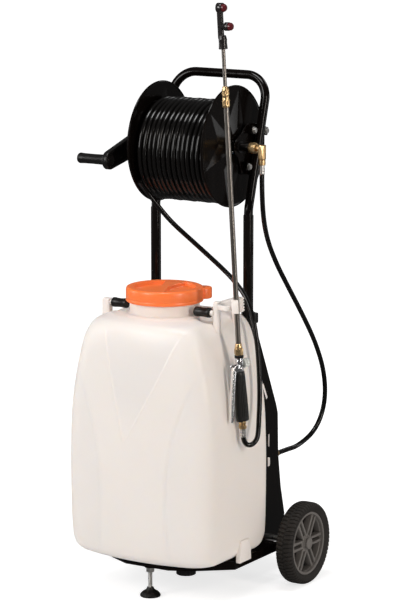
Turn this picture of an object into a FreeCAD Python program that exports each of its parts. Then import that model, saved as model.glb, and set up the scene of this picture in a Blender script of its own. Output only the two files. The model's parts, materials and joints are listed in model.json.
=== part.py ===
import FreeCAD, Part
import math
import os

# Wheeled sprayer cart. Millimetres, +Z up, +X the cart's right side, -Y its front.
# The origin is on the floor, under the middle of the cart's outline.

V = FreeCAD.Vector
X_AXIS = V(1, 0, 0)
Y_AXIS = V(0, 1, 0)
Z_AXIS = V(0, 0, 1)

# ---------------------------------------------------------------- driving dimensions

RUNNING = 0.05                     # radial clearance of a shaft turning in a hole
GAP = 0.4                          # air between two bodies that move past each other
SHEET = 3.0                        # steel sheet of the pan, cheeks and brackets

WHEEL_R = 101.5                    # 8 inch wheel
WHEEL_X = 256.0                    # middle of each tyre
TYRE_W = 44.0
RIM_R = 78.0
AXLE_Y = 132.0
AXLE_R = 8.0
HUB_HALF = 17.0                    # half the length of a wheel's hub

TANK_FRONT = -233.5
TANK_BACK = 60.0
TANK_BULGE = 14.0                  # how far the front swells between its corners
TANK_WALL = 4.0
TANK_FLOOR = 98.0
TANK_TOP = 688.0
TANK_FRONT_CORNER = 50.0
TANK_BACK_CORNER = 32.0
# height, half width, how far the front and the back stand in from their planes
TANK_SECTIONS = [
    (TANK_FLOOR, 170.0, 30.0, 30.0),
    (106.0, 188.0, 16.0, 14.0),
    (120.0, 198.0, 7.0, 5.0),
    (145.0, 203.0, 3.0, 0.0),
    (200.0, 205.0, 0.8, 0.0),
    (319.0, 206.0, 0.0, 0.0),
    (420.0, 203.5, 0.0, 0.0),
    (500.0, 196.0, 0.0, 0.0),
    (560.0, 184.5, 0.0, 0.0),
    (610.0, 172.0, 0.5, 0.0),
    (640.0, 163.0, 3.0, 1.0),
    (662.0, 152.0, 9.0, 5.0),
    (678.0, 138.0, 21.0, 15.0),
    (TANK_TOP, 116.0, 42.0, 36.0),
]

NECK_Y = -95.0
NECK_R = 84.0
NECK_BORE = 79.0
NECK_TOP = 737.5
CAP_R = 93.0
CAP_BOTTOM = 717.0
CAP_TOP = 752.0
CAP_CEILING = 741.0
CAP_LUG_R = 115.0
CAP_LUG_TURN = 42.0                # degrees from the cart's right side towards its back
STRAINER_R = 76.0
STRAINER_DEPTH = 130.0

PAN_BOTTOM = 76.0
PAN_HALF = 194.0
PAN_BACK = 115.0
DRAIN_AT = V(82, -131, 0)
DRAIN_R = 20.0
FOOT_AT = V(0, -163, 0)
FOOT_STEM_R = 5.0

POST_X = 132.0                     # the two upright tubes
POST_Y = 74.0
POST_R = 12.5
HANDLE_R = 11.0
BEND_Z = 925.0
BAR_Y = 167.0
BAR_Z = 1239.0

CHEEK_X = 147.0                    # inner face of each cheek plate
COVER_HALF = 146.8
COVER_SPLIT = 305.0
OUTLET_X = 130.0
OUTLET_Z = 292.0
OUTLET_END = 222.0
# outline of a cheek behind the tank, as (Y, Z) from the top down
CHEEK_REAR = [(85, 632), (128, 542), (182, 427), (190, 404), (193, 300), (206, 214), (225, 142), (225, 80)]

REEL_Y = 54.0
REEL_Z = 1078.0
SHAFT_R = 8.0
DRUM_R = 88.0
FLANGE_R = 147.0
FLANGE_RIGHT = 99.0                # inner faces of the two flanges
FLANGE_LEFT = -104.5
FLANGE_T = 2.5
COIL_R = 126.0
COIL_SAG = 15.0                    # how far the loose turns hang below the drum's axis
BRACKET_X = 117.0

CRANK_Y = -92.0
CRANK_Z = 1043.0
CRANK_INNER = -152.0
CRANK_OUTER = -166.0
GRIP_START = -170.0
GRIP_END = -246.0
GRIP_R = 13.0

HOSE_R = 6.0
ELBOW_X = 181.0
ELBOW_BOTTOM = 1038.0
FERRULE_LENGTH = 22.0

# The lance leans: LANCE_BASE is where the hose enters the gun, LANCE_DIRECTION runs up the lance.
LANCE_BASE = V(220.8, -97.4, 409)
LANCE_DIRECTION = V(-25, -53, 929.5)
GUN_TURN = -12.0                   # the gun's turn about the lance, in degrees
CONNECTOR_AT = 20.0                # distances up the lance from its base
GRIP_AT = 39.0
VALVE_AT = 160.0
NUT_AT = 198.0
LOWER_TUBE_AT = 215.0
LOWER_TUBE_TOP = 794.0
COLLET_AT = 789.0
UPPER_TUBE_AT = 553.0
HEAD_AT = 925.0
NOZZLE_LOW = 977.0
NOZZLE_HIGH = 1020.0
LOWER_TUBE_R = 6.2
UPPER_TUBE_R = 4.5

# Feed hose, from the swivel elbow to the outlet of the rear housing.
FEED_ROUTE = [
    V(ELBOW_X, REEL_Y, ELBOW_BOTTOM - FERRULE_LENGTH), V(181, 54, 948), V(180, 74, 868), V(179, 122, 796),
    V(177, 190, 722), V(174, 268, 640), V(169, 345, 555), V(163, 402, 468), V(156, 420, 385),
    V(147, 388, 320), V(134, 318, 291), V(OUTLET_X, 270, OUTLET_Z), V(OUTLET_X, OUTLET_END, OUTLET_Z),
]
# Spray hose, from the winding on the reel to the bottom of the gun.
SPRAY_ROUTE = [
    V(-88, -68, 993), V(-80, -47, 967), V(-62, -30, 934), V(-34, -12, 893), V(5, 9, 853),
    V(45, 19, 819), V(86, 24, 787), V(124, 24, 757), V(159, 17, 724), V(187, 2, 684), V(204, -8, 633),
    V(213, -13, 580), V(220, -20, 525), V(227, -31, 478), V(233, -45, 443), V(239, -57, 419),
    V(242, -68, 399), V(234, -81, 386), V(222.5, -94, 391), LANCE_BASE,
]


# ---------------------------------------------------------------- helpers

def block(x, y, z):
    """A box between two values on each axis."""
    shape = Part.makeBox(x[1] - x[0], y[1] - y[0], z[1] - z[0])
    shape.translate(V(x[0], y[0], z[0]))
    return shape


def rod(radius, start, axis, length):
    """A solid cylinder from start along axis."""
    return Part.makeCylinder(radius, length, start, axis)


def ring(outer, inner, start, axis, length):
    """A cylinder with a hole along its axis."""
    return rod(outer, start, axis, length).cut(rod(inner, start, axis, length))


def on_axis(radius, x_low, x_high, y, z):
    """A cylinder parallel to X."""
    return rod(radius, V(x_low, y, z), X_AXIS, x_high - x_low)


def tube_on_axis(outer, inner, x_low, x_high, y, z):
    """A hollow cylinder parallel to X."""
    return on_axis(outer, x_low, x_high, y, z).cut(on_axis(inner, x_low, x_high, y, z))


def plate_yz(outline, x_low, x_high):
    """A flat plate whose outline is given as (Y, Z) points."""
    points = [V(x_low, y, z) for y, z in outline]
    face = Part.Face(Part.makePolygon(points + points[:1]))
    return face.extrude(V(x_high - x_low, 0, 0))


def plate_xy(outline, z_low, z_high):
    """A flat plate whose outline is given as (X, Y) points."""
    points = [V(x, y, z_low) for x, y in outline]
    face = Part.Face(Part.makePolygon(points + points[:1]))
    return face.extrude(V(0, 0, z_high - z_low))


def hexagon(across_flats, start, axis, length):
    """A hexagonal prism from start along axis."""
    corner = across_flats / math.sqrt(3)
    points = [V(corner * math.cos(math.radians(60 * i)), corner * math.sin(math.radians(60 * i)), 0)
              for i in range(7)]
    shape = Part.Face(Part.makePolygon(points)).extrude(V(0, 0, length))
    shape.Placement = FreeCAD.Placement(start, FreeCAD.Rotation(Z_AXIS, axis))
    return shape


def turned(profile, base, axis):
    """A solid of revolution: profile is (radius, distance along axis) points, closed on the axis."""
    points = [V(r, 0, h) for r, h in profile]
    shape = Part.Face(Part.makePolygon(points + points[:1])).revolve(V(0, 0, 0), Z_AXIS, 360)
    shape.Placement = FreeCAD.Placement(base, FreeCAD.Rotation(Z_AXIS, axis))
    return shape


def mirrored(shape):
    """The same shape on the cart's other side."""
    return shape.mirror(V(0, 0, 0), X_AXIS)


def fused(shapes):
    """One solid from overlapping shapes."""
    return shapes[0].multiFuse(shapes[1:]).removeSplitter()


def bent_path(points, radii):
    """Straight runs joined by tangent arcs, as one wire. radii has one value for each inner point."""
    edges = []
    here = points[0]
    for corner, after, radius, before in zip(points[1:-1], points[2:], radii, points[:-2]):
        arriving = (corner - before).normalize()
        leaving = (after - corner).normalize()
        turn = arriving.getAngle(leaving)
        setback = radius * math.tan(turn / 2)
        arc_start = corner - arriving * setback
        arc_end = corner + leaving * setback
        inward = (leaving - arriving).normalize()
        middle = corner + inward * (radius / math.cos(turn / 2) - radius)
        edges.append(Part.LineSegment(here, arc_start).toShape())
        edges.append(Part.Arc(arc_start, middle, arc_end).toShape())
        here = arc_end
    edges.append(Part.LineSegment(here, points[-1]).toShape())
    return Part.Wire(edges)


def bent_rod(path, radius):
    """A round solid swept along a wire."""
    start = path.Edges[0]
    first = start.FirstParameter
    circle = Part.makeCircle(radius, start.valueAt(first), start.tangentAt(first))
    return path.makePipeShell([Part.Wire(circle)], True, False)


def widest_arcs(points):
    """For each inner point, the largest arc that its two runs leave room for."""
    share = 0.45
    radii = []
    for before, corner, after in zip(points[:-2], points[1:-1], points[2:]):
        run = min((corner - before).Length, (after - corner).Length)
        turn = (corner - before).getAngle(after - corner)
        radii.append(share * run / math.tan(turn / 2))
    return radii


def hose(name, route):
    """A free hose: prints its radii and compares its volume with section times length."""
    radii = widest_arcs(route)
    path = bent_path(route, radii)
    solid = bent_rod(path, HOSE_R)
    expected = math.pi * HOSE_R ** 2 * path.Length
    print(name, "length", round(path.Length), "radii", [round(r) for r in radii],
          "volume ratio", round(solid.Volume / expected, 4))
    return solid


def lance_place(shape, turn=GUN_TURN):
    """Moves a shape built along +Z from zero onto the lance's line."""
    lean = FreeCAD.Rotation(Z_AXIS, LANCE_DIRECTION)
    spin = FreeCAD.Rotation(Z_AXIS, turn)
    shape.Placement = FreeCAD.Placement(LANCE_BASE, lean.multiply(spin)).multiply(shape.Placement)
    return shape


def save(name, shapes):
    """Writes one node: one solid, or a group of separate ones."""
    shape = shapes[0] if len(shapes) == 1 else Part.makeCompound(shapes)
    for solid in shape.Solids:
        if not solid.isValid():
            print("NOT VALID:", name)
    shape.exportStep(os.path.join("parts", name + ".step"))


# ---------------------------------------------------------------- tank and filler

def rounded_outline(z, half, front, back, inset):
    """One level outline of the tank, drawn in by inset."""
    x = half - inset
    y0 = front + inset
    y1 = back - inset
    rf = TANK_FRONT_CORNER - inset
    rb = TANK_BACK_CORNER - inset
    slant = math.sqrt(0.5)
    edges = [
        Part.Arc(V(-x + rf, y0, z), V(0, y0 - TANK_BULGE, z), V(x - rf, y0, z)),
        Part.Arc(V(x - rf, y0, z), V(x - rf + rf * slant, y0 + rf - rf * slant, z), V(x, y0 + rf, z)),
        Part.LineSegment(V(x, y0 + rf, z), V(x, y1 - rb, z)),
        Part.Arc(V(x, y1 - rb, z), V(x - rb + rb * slant, y1 - rb + rb * slant, z), V(x - rb, y1, z)),
        Part.LineSegment(V(x - rb, y1, z), V(-x + rb, y1, z)),
        Part.Arc(V(-x + rb, y1, z), V(-x + rb - rb * slant, y1 - rb + rb * slant, z), V(-x, y1 - rb, z)),
        Part.LineSegment(V(-x, y1 - rb, z), V(-x, y0 + rf, z)),
        Part.Arc(V(-x, y0 + rf, z), V(-x + rf - rf * slant, y0 + rf - rf * slant, z), V(-x + rf, y0, z)),
    ]
    return Part.Wire([edge.toShape() for edge in edges])


def tank_body(inset):
    """The tank's outside, or its hollow when inset is the wall."""
    wires = []
    for z, half, front_in, back_in in TANK_SECTIONS:
        level = min(max(z, TANK_FLOOR + inset), TANK_TOP - inset)
        wires.append(rounded_outline(level, half, TANK_FRONT + front_in, TANK_BACK - back_in, inset))
    return Part.makeLoft(wires, True, False)


LIFT_GRIP_X = (95.0, 139.0)
LIFT_GRIP_Y = -110.0
LIFT_GRIP_Z = 702.0
HAND_RECESS_R = 28.0


def hand_recess(grow):
    """The hollow in the tank's top under each lifting grip."""
    r = HAND_RECESS_R + grow
    low, high = LIFT_GRIP_X
    right = on_axis(r, low - grow, high + grow, LIFT_GRIP_Y, LIFT_GRIP_Z)
    return [right, mirrored(right)]


SUCTION_X = 60.0
SUCTION_Z = 150.0
SUCTION_R = 11.0
SPIGOT_END = TANK_BACK + 12


def make_tank(outside):
    ledge_z = NECK_TOP - 11
    hollow = tank_body(TANK_WALL)
    for recess in hand_recess(TANK_WALL):
        hollow = hollow.cut(recess)
    shell = outside.cut(hollow)
    for recess in hand_recess(0):
        shell = shell.cut(recess)
    neck_base = TANK_TOP - TANK_WALL / 2
    shell = shell.cut(rod(NECK_BORE, V(0, NECK_Y, TANK_TOP - 20), Z_AXIS, 40))
    neck = ring(NECK_R, NECK_BORE, V(0, NECK_Y, neck_base), Z_AXIS, NECK_TOP - neck_base)
    ledge = ring(NECK_BORE + 1, STRAINER_R + 0.5, V(0, NECK_Y, ledge_z), Z_AXIS, 5)
    drain = rod(DRAIN_R, DRAIN_AT + V(0, 0, 67), Z_AXIS, TANK_FLOOR - 67 + TANK_WALL / 2)
    spigot = rod(SUCTION_R, V(SUCTION_X, TANK_BACK - TANK_WALL / 2, SUCTION_Z), Y_AXIS, 14)
    tank = fused([shell, neck, ledge, drain, spigot])
    tank = tank.cut(rod(DRAIN_R - 4, DRAIN_AT + V(0, 0, 60), Z_AXIS, 60))
    return tank.cut(rod(SUCTION_R - 4, V(SUCTION_X, TANK_BACK - 10, SUCTION_Z), Y_AXIS, 40))


def make_strainer():
    """A slotted basket that hangs from the ledge inside the neck."""
    lip_z = NECK_TOP - 6
    bottom = NECK_TOP - STRAINER_DEPTH
    wall = 2.0
    cup = rod(STRAINER_R, V(0, NECK_Y, bottom), Z_AXIS, lip_z - bottom + 3)
    cup = cup.cut(rod(STRAINER_R - wall, V(0, NECK_Y, bottom + wall), Z_AXIS, STRAINER_DEPTH))
    lip = ring(NECK_BORE - 0.3, STRAINER_R - wall, V(0, NECK_Y, lip_z), Z_AXIS, 3)
    basket = fused([cup, lip])
    windows = []
    for level in range(2):
        for i in range(12):
            window = block((STRAINER_R - 6, STRAINER_R + 4), (-12, 12), (0, 38))
            window.rotate(V(0, 0, 0), Z_AXIS, 30 * i)
            window.translate(V(0, NECK_Y, bottom + 12 + 48 * level))
            windows.append(window)
    return basket.cut(windows)


def make_cap():
    """The filler cap: skirt, top with two kidney hollows beside a grip bar, and a lug."""
    centre = V(0, NECK_Y, 0)
    lug_low = CAP_BOTTOM + 6
    lug_half = 17.0
    body = rod(CAP_R, centre + V(0, 0, CAP_BOTTOM), Z_AXIS, CAP_TOP - CAP_BOTTOM)
    body = body.makeChamfer(2.5, [edge for edge in body.Edges if edge.BoundBox.ZMin > CAP_TOP - 1])
    lug = block((0, CAP_LUG_R - lug_half), (-lug_half, lug_half), (lug_low, CAP_TOP - 5))
    nose = rod(lug_half, V(CAP_LUG_R - lug_half, 0, lug_low), Z_AXIS, CAP_TOP - 5 - lug_low)
    lug = lug.fuse(nose)
    lug.rotate(V(0, 0, 0), Z_AXIS, CAP_LUG_TURN)
    lug.translate(centre)
    body = fused([body, lug])
    body = body.cut(rod(NECK_R + 3, centre + V(0, 0, CAP_BOTTOM), Z_AXIS, CAP_CEILING - CAP_BOTTOM))
    well = rod(75, V(0, 0, CAP_TOP - 8), Z_AXIS, 10)
    bar = plate_xy([(-26, -80), (26, -80), (9, 0), (26, 80), (-26, 80), (-9, 0)], CAP_TOP - 9, CAP_TOP + 3)
    hollows = well.cut(bar)
    hollows.rotate(V(0, 0, 0), Z_AXIS, 12)
    hollows.translate(centre)
    return body.cut(hollows)


def make_gasket():
    low = NECK_TOP + GAP
    return ring(NECK_R - 0.4, NECK_BORE + 0.4, V(0, NECK_Y, low), Z_AXIS, CAP_CEILING - low)


def make_top_rail(outside):
    """A moulded bar along the tank's right shoulder, on a front and a back post."""
    x0, x1 = 143.0, 161.0
    middle = (x0 + x1) / 2
    bar = block((x0, x1), (-113, -8), (708, 727))
    front = rod(9, V(middle, -104, 640), Z_AXIS, 90)
    back = rod(9, V(middle, -17, 640), Z_AXIS, 80)
    return fused([bar, front, back]).cut(outside)


def make_shoulder_lug(outside):
    """The lug on the tank's left shoulder that the left lifting grip ends in."""
    lug = block((-166, -143), (-119, -101), (640, 711))
    lug = lug.makeChamfer(4, [edge for edge in lug.Edges if edge.BoundBox.ZMin > 710])
    return lug.cut(outside)


def make_lifting_grips():
    """Round grips beside the neck. Their pins end in the right rail's front post and in the left lug."""
    low, high = LIFT_GRIP_X
    grip = on_axis(12, low, high, LIFT_GRIP_Y, LIFT_GRIP_Z)
    pin = on_axis(7, high - 1, 143, LIFT_GRIP_Y, LIFT_GRIP_Z)
    whole = fused([grip, pin])
    return [whole.cut(rod(9, V(152, -104, 640), Z_AXIS, 90)), mirrored(whole)]


def make_side_clips(outside):
    """The moulded clips that hold the tank to the pan's side walls."""
    right = block((PAN_HALF + 0.2, PAN_HALF + 14), (-94, -25), (92, 150)).cut(outside)
    return [right, mirrored(right)]


def make_drain_cap():
    bottom = 60.0
    cap = rod(DRAIN_R + 4, DRAIN_AT + V(0, 0, bottom), Z_AXIS, 20)
    return cap.cut(rod(DRAIN_R + GAP, DRAIN_AT + V(0, 0, 67 - GAP), Z_AXIS, 20))


# ---------------------------------------------------------------- pan, foot, frame

def pan_outline(inset):
    """The pan's outline: a blunt front with long chamfers."""
    right = [(60, -179 + inset), (118 - inset * 0.45, -150 + inset * 0.9),
             (PAN_HALF - inset, -88 + inset * 0.45), (PAN_HALF - inset, PAN_BACK - inset)]
    left = [(-x, y) for x, y in reversed(right)]
    return right + left


FOOT_BOSS_BOTTOM = 73.0


def make_pan():
    pan = plate_xy(pan_outline(0), PAN_BOTTOM, TANK_FLOOR)
    pan = pan.cut(plate_xy(pan_outline(SHEET), PAN_BOTTOM, TANK_FLOOR - SHEET))
    pan = pan.cut(rod(DRAIN_R + 8, DRAIN_AT + V(0, 0, 50), Z_AXIS, 60))
    boss = rod(14, FOOT_AT + V(0, 0, FOOT_BOSS_BOTTOM), Z_AXIS, TANK_FLOOR - FOOT_BOSS_BOTTOM - 1)
    pan = fused([pan, boss])
    bore_depth = 21.0
    return pan.cut(rod(FOOT_STEM_R + RUNNING, FOOT_AT + V(0, 0, FOOT_BOSS_BOTTOM), Z_AXIS, bore_depth))


def make_foot():
    """Lock nut, threaded stem and pad of the front foot."""
    nut_height = 12.0
    nut = hexagon(19, FOOT_AT + V(0, 0, FOOT_BOSS_BOTTOM - nut_height), Z_AXIS, nut_height)
    nut = nut.cut(rod(FOOT_STEM_R + RUNNING, FOOT_AT, Z_AXIS, 90))
    stem = rod(FOOT_STEM_R, FOOT_AT + V(0, 0, 10), Z_AXIS, 72)
    pad = turned([(0, 0), (25, 0), (25, 5), (21, 11), (13, 16), (9, 19), (8, 23), (0, 23)], FOOT_AT, Z_AXIS)
    pad = pad.cut(rod(FOOT_STEM_R, FOOT_AT + V(0, 0, 10), Z_AXIS, 20))
    return nut, stem, pad


def make_uprights():
    right = ring(POST_R, HANDLE_R + 0.1, V(POST_X, POST_Y, TANK_FLOOR), Z_AXIS, BEND_Z - 14 - TANK_FLOOR)
    return [right, mirrored(right)]


def handle_path():
    """The handle's centre line: two legs, a lean backwards and a top bar."""
    foot_z = BEND_Z - 65
    side = [V(POST_X, POST_Y, foot_z), V(POST_X, POST_Y, BEND_Z), V(POST_X, BAR_Y, BAR_Z)]
    points = side + [V(-p.x, p.y, p.z) for p in reversed(side)]
    return bent_path(points, [80, 60, 60, 80])


def make_collars():
    """Clamps round the uprights just above the rear housing."""
    low, high = 636.0, 674.0
    band = rod(POST_R + 4.5, V(POST_X, POST_Y, low), Z_AXIS, high - low)
    band = band.cut(block((100, 160), (40, TANK_BACK + 0.8), (low, high)))
    lug = block((POST_X - 12, POST_X + 13), (POST_Y, 112), (low + 3, high - 3))
    right = fused([band, lug]).cut(rod(POST_R, V(POST_X, POST_Y, low), Z_AXIS, high - low))
    return [right, mirrored(right)]


def make_cheeks():
    """Side plates of the rear housing, which also carry the axle."""
    front = 64.0
    outline = [(front, TANK_FLOOR), (front, 632)] + CHEEK_REAR
    outline += [(PAN_BACK + 3, 80), (PAN_BACK + 3, TANK_FLOOR)]
    plate = plate_yz(outline, CHEEK_X, CHEEK_X + SHEET)
    slant_slot = plate_yz([(112, 488), (119, 492), (140, 452), (133, 448)], CHEEK_X - 1, CHEEK_X + 5)
    low_slot = plate_yz([(142, 326), (149, 326), (149, 358), (142, 358)], CHEEK_X - 1, CHEEK_X + 5)
    plate = plate.cut([slant_slot, low_slot, on_axis(AXLE_R, 100, 200, AXLE_Y, WHEEL_R)])
    return [plate, mirrored(plate)]


def strip_between(outer, thickness):
    """Closes an outer (Y, Z) line into a bent sheet of the given thickness, on its front side."""
    inner = [(y - thickness, z) for y, z in reversed(outer)]
    return outer + inner


ROCKER_X = -60.0
ROCKER_Z = 350.0
ROCKER_PIVOT_Y = 186.0
ROCKER_PIN_R = 1.5


def make_rear_cover():
    """The upper cover of the housing, closed on top, with the switch's window."""
    line = [(85, 631)] + CHEEK_REAR[1:3] + [(189, 404), (189, COVER_SPLIT)]
    cover = plate_yz(strip_between(line, 2.5), -COVER_HALF, COVER_HALF)
    roof = plate_yz([(64.3, 628.5), (86, 628.5), (85, 631), (64.3, 631)], -COVER_HALF, COVER_HALF)
    window = block((ROCKER_X - 12, ROCKER_X + 12), (180, 195), (ROCKER_Z - 9, ROCKER_Z + 9))
    pin = on_axis(ROCKER_PIN_R + RUNNING, ROCKER_X - 13.3, ROCKER_X + 13.3, ROCKER_PIVOT_Y, ROCKER_Z)
    posts = [rod(POST_R + 0.1, V(side * POST_X, POST_Y, 600), Z_AXIS, 60) for side in (-1, 1)]
    return fused([cover, roof]).cut(posts + [window, pin])


def make_pump_cover():
    """The lower cover, which flares down over the axle."""
    line = [(192, COVER_SPLIT - 0.3)] + [(y - 1, z) for y, z in CHEEK_REAR[4:]]
    cover = plate_yz(strip_between(line, SHEET), -COVER_HALF, COVER_HALF)
    return cover.cut(rod(HOSE_R, V(OUTLET_X, 150, OUTLET_Z), Y_AXIS, 60))


def make_outlet_fitting():
    """Through fitting of the feed hose: a hexagon outside the cover and a barb sleeve."""
    through = rod(HOSE_R, V(OUTLET_X, 186, OUTLET_Z), Y_AXIS, 20)
    nut = hexagon(19, V(OUTLET_X, 195.2, OUTLET_Z), Y_AXIS, 8)
    sleeve = turned([(0, 0), (8, 0), (8, 17), (7, 19), (0, 19)], V(OUTLET_X, 203, OUTLET_Z), Y_AXIS)
    return fused([through, nut, sleeve])


def make_rocker():
    """The power switch: a rocker on a pin parallel to X."""
    outline = [(182, -5), (189, -8), (192.5, -7), (189.5, 0), (192.5, 7), (189, 8), (182, 5)]
    raised = [(y, z + ROCKER_Z) for y, z in outline]
    rocker = plate_yz(raised, ROCKER_X - 11, ROCKER_X + 11)
    return rocker.fuse(on_axis(ROCKER_PIN_R, ROCKER_X - 13, ROCKER_X + 13, ROCKER_PIVOT_Y, ROCKER_Z))


# ---------------------------------------------------------------- pump and battery

MOTOR_R = 30.0
PUMP_Y = 130.0
PUMP_Z = 160.0
SHELF_Z = 208.0
PIPE_Y = 140.0


def make_pump_head():
    head = block((32, 90), (100, 160), (132, 190))
    return head.cut([rod(HOSE_R - 2, V(SUCTION_X, 99, SUCTION_Z), Y_AXIS, 20),
                     rod(HOSE_R - 2, V(70, PIPE_Y, PUMP_Z), X_AXIS, 30)])


def make_pump_motor():
    can = on_axis(MOTOR_R, -62, 31, PUMP_Y, PUMP_Z)
    cap = on_axis(MOTOR_R - 8, -70, -62, PUMP_Y, PUMP_Z)
    flange = block((26, 32), (PUMP_Y - 28, PUMP_Y + 28), (134, 188))
    return fused([can, cap, flange])


def make_shelf():
    """The plate between the cheeks that the battery stands on, with its folded front edge."""
    shelf = block((-CHEEK_X, CHEEK_X), (90, 196), (SHELF_Z, SHELF_Z + 2.5))
    lip = block((-CHEEK_X, CHEEK_X), (90, 92.5), (SHELF_Z, SHELF_Z + 18))
    return fused([shelf, lip]).cut(rod(12, V(OUTLET_X, PIPE_Y, 200), Z_AXIS, 20))


def make_battery():
    case = block((-75, 75), (100, 165), (SHELF_Z + 2.5, 305))
    terminals = [rod(7, V(x, 120, 305), Z_AXIS, 6) for x in (-55, 55)]
    return fused([case] + terminals)


def make_pipes():
    """Suction pipe from the tank's spigot, and delivery pipe up to the outlet fitting."""
    suction = ring(HOSE_R + 2, HOSE_R - 1, V(SUCTION_X, SPIGOT_END, SUCTION_Z), Y_AXIS, 100 - SPIGOT_END)
    corner_r = 24.0
    path = bent_path([V(90, PIPE_Y, PUMP_Z), V(OUTLET_X, PIPE_Y, PUMP_Z), V(OUTLET_X, PIPE_Y, OUTLET_Z),
                      V(OUTLET_X, 186, OUTLET_Z)], [corner_r, corner_r])
    return [suction, bent_rod(path, HOSE_R)]


# ---------------------------------------------------------------- hose reel

def post_y(z):
    """Where the leaning part of the handle tube is at a given height."""
    return POST_Y + (z - BEND_Z) * (BAR_Y - POST_Y) / (BAR_Z - BEND_Z)


BRACKET_BOLTS = [(101, 1114), (77, 1028), (158, 1107), (133, 1016)]       # Y, Z: front pair, then rear pair
CLAMP_OUTER = 131.0


def make_brackets():
    """Plates on the inner faces of the leaning tubes, which carry the reel's shaft."""
    outline = [
        (48, 1100), (88, 1132), (165, 1122), (168, 1098), (146, 1004), (124, 1000), (64, 1012), (44, 1056),
    ]
    plate = plate_yz(outline, BRACKET_X, BRACKET_X + SHEET)
    eye = on_axis(25, BRACKET_X, BRACKET_X + SHEET, REEL_Y, REEL_Z)
    right = fused([plate, eye])
    holes = [on_axis(4, 100, 200, y, z) for y, z in BRACKET_BOLTS]
    right = right.cut(holes + [on_axis(14, 100, 200, REEL_Y, REEL_Z)])
    return [right, mirrored(right)]


def make_clamps(handle_solid):
    """Blocks on the brackets that hug the tube from the front and from behind."""
    blocks = []
    lean = math.degrees(math.atan2(BAR_Y - POST_Y, BAR_Z - BEND_Z))
    for y, z in BRACKET_BOLTS:
        towards_tube = math.copysign(1, post_y(z) - y)
        reach = sorted((-10 * towards_tube, 22 * towards_tube))
        clamp = block((BRACKET_X + SHEET, CLAMP_OUTER), tuple(reach), (-10, 10))
        clamp.rotate(V(0, 0, 0), X_AXIS, -lean)
        clamp.translate(V(0, y, z))
        clamp = clamp.cut([handle_solid, on_axis(4, 100, 160, y, z)])
        clamp = max(clamp.Solids, key=lambda piece: piece.Volume)
        blocks += [clamp, mirrored(clamp)]
    return blocks


def make_frame_bolts():
    """The bolts of the reel's brackets, each with its head outside."""
    bolts = []
    for y, z in BRACKET_BOLTS:
        shank = on_axis(4, BRACKET_X - 1.5, CLAMP_OUTER, y, z)
        head = hexagon(13, V(CLAMP_OUTER, y, z), X_AXIS, 5.5)
        bolt = fused([shank, head])
        bolts += [bolt, mirrored(bolt)]
    return bolts


def make_bushes():
    right = tube_on_axis(14, SHAFT_R + RUNNING, BRACKET_X - 2, BRACKET_X + SHEET + 3, REEL_Y, REEL_Z)
    return [right, mirrored(right)]


def make_shaft():
    """The hollow shaft, with a collar at the swivel and a flat end for the crank."""
    shaft = on_axis(SHAFT_R, CRANK_OUTER + 3, 158, REEL_Y, REEL_Z)
    collar = on_axis(10.5, BRACKET_X + SHEET + 4, 147, REEL_Y, REEL_Z)
    return fused([shaft, collar])


def make_drum():
    """The drum that the hose is wound on, with a disc at each end that grips the shaft."""
    low = FLANGE_LEFT
    high = FLANGE_RIGHT
    drum = tube_on_axis(DRUM_R, DRUM_R - 2.5, low, high, REEL_Y, REEL_Z)
    ends = [tube_on_axis(DRUM_R - 1, SHAFT_R, x, x + 3, REEL_Y, REEL_Z) for x in (low, high - 3)]
    return fused([drum] + ends)


def make_flange(inner_x, outward):
    """A pressed disc with a rolled rim, six star-shaped ribs and a hub."""
    rib_high = 8.0
    rib_root = 32.0
    rib_tip = 139.0
    face_x = inner_x + outward * FLANGE_T
    low, high = sorted((inner_x, face_x))
    disc = on_axis(FLANGE_R - 2, low, high, REEL_Y, REEL_Z)
    rim = Part.makeTorus(FLANGE_R - 3, 3, V((low + high) / 2, REEL_Y, REEL_Z), X_AXIS)
    hub_end = face_x + outward * 6
    hub = on_axis(26, min(face_x, hub_end), max(face_x, hub_end), REEL_Y, REEL_Z)
    parts = [disc, rim, hub]
    spread = math.radians(27)
    for i in range(6):
        root_a = V(face_x, rib_root * math.cos(spread), -rib_root * math.sin(spread))
        root_b = V(face_x, rib_root * math.cos(spread), rib_root * math.sin(spread))
        tip = V(face_x, rib_tip, 0)
        crest = V(face_x + outward * rib_high, rib_root, 0)
        faces = [Part.Face(Part.makePolygon([a, b, c, a])) for a, b, c in
                 ((root_a, root_b, tip), (root_a, root_b, crest), (root_b, tip, crest), (tip, root_a, crest))]
        rib = Part.makeSolid(Part.makeShell(faces))
        rib.rotate(V(0, 0, 0), X_AXIS, 60 * i + 20)
        rib.translate(V(0, REEL_Y, REEL_Z))
        parts.append(rib)
    flange = fused(parts)
    return flange.cut(on_axis(SHAFT_R, -200, 200, REEL_Y, REEL_Z))


def make_coil():
    """The wound hose as one ring that lies on the drum and hangs loose below it."""
    low = FLANGE_LEFT + 0.6
    high = FLANGE_RIGHT - 0.6
    hose_ring = on_axis(COIL_R, low, high, REEL_Y, REEL_Z - COIL_SAG)
    return hose_ring.cut(on_axis(DRUM_R, low, high, REEL_Y, REEL_Z))


def link_plate(x_low, x_high, first, first_r, second, second_r):
    """A flat link whose ends are round about two (Y, Z) points."""
    reach = V(0, second[0] - first[0], second[1] - first[1])
    tilt = math.acos((first_r - second_r) / reach.Length)
    heading = math.atan2(reach.z, reach.y)
    corners = []
    for centre, radius, side in ((first, first_r, 1), (second, second_r, 1),
                                 (second, second_r, -1), (first, first_r, -1)):
        angle = heading + side * tilt
        corners.append((centre[0] + radius * math.cos(angle), centre[1] + radius * math.sin(angle)))
    web = plate_yz(corners, x_low, x_high)
    ends = [on_axis(r, x_low, x_high, c[0], c[1]) for c, r in ((first, first_r), (second, second_r))]
    return fused([web] + ends)


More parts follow.
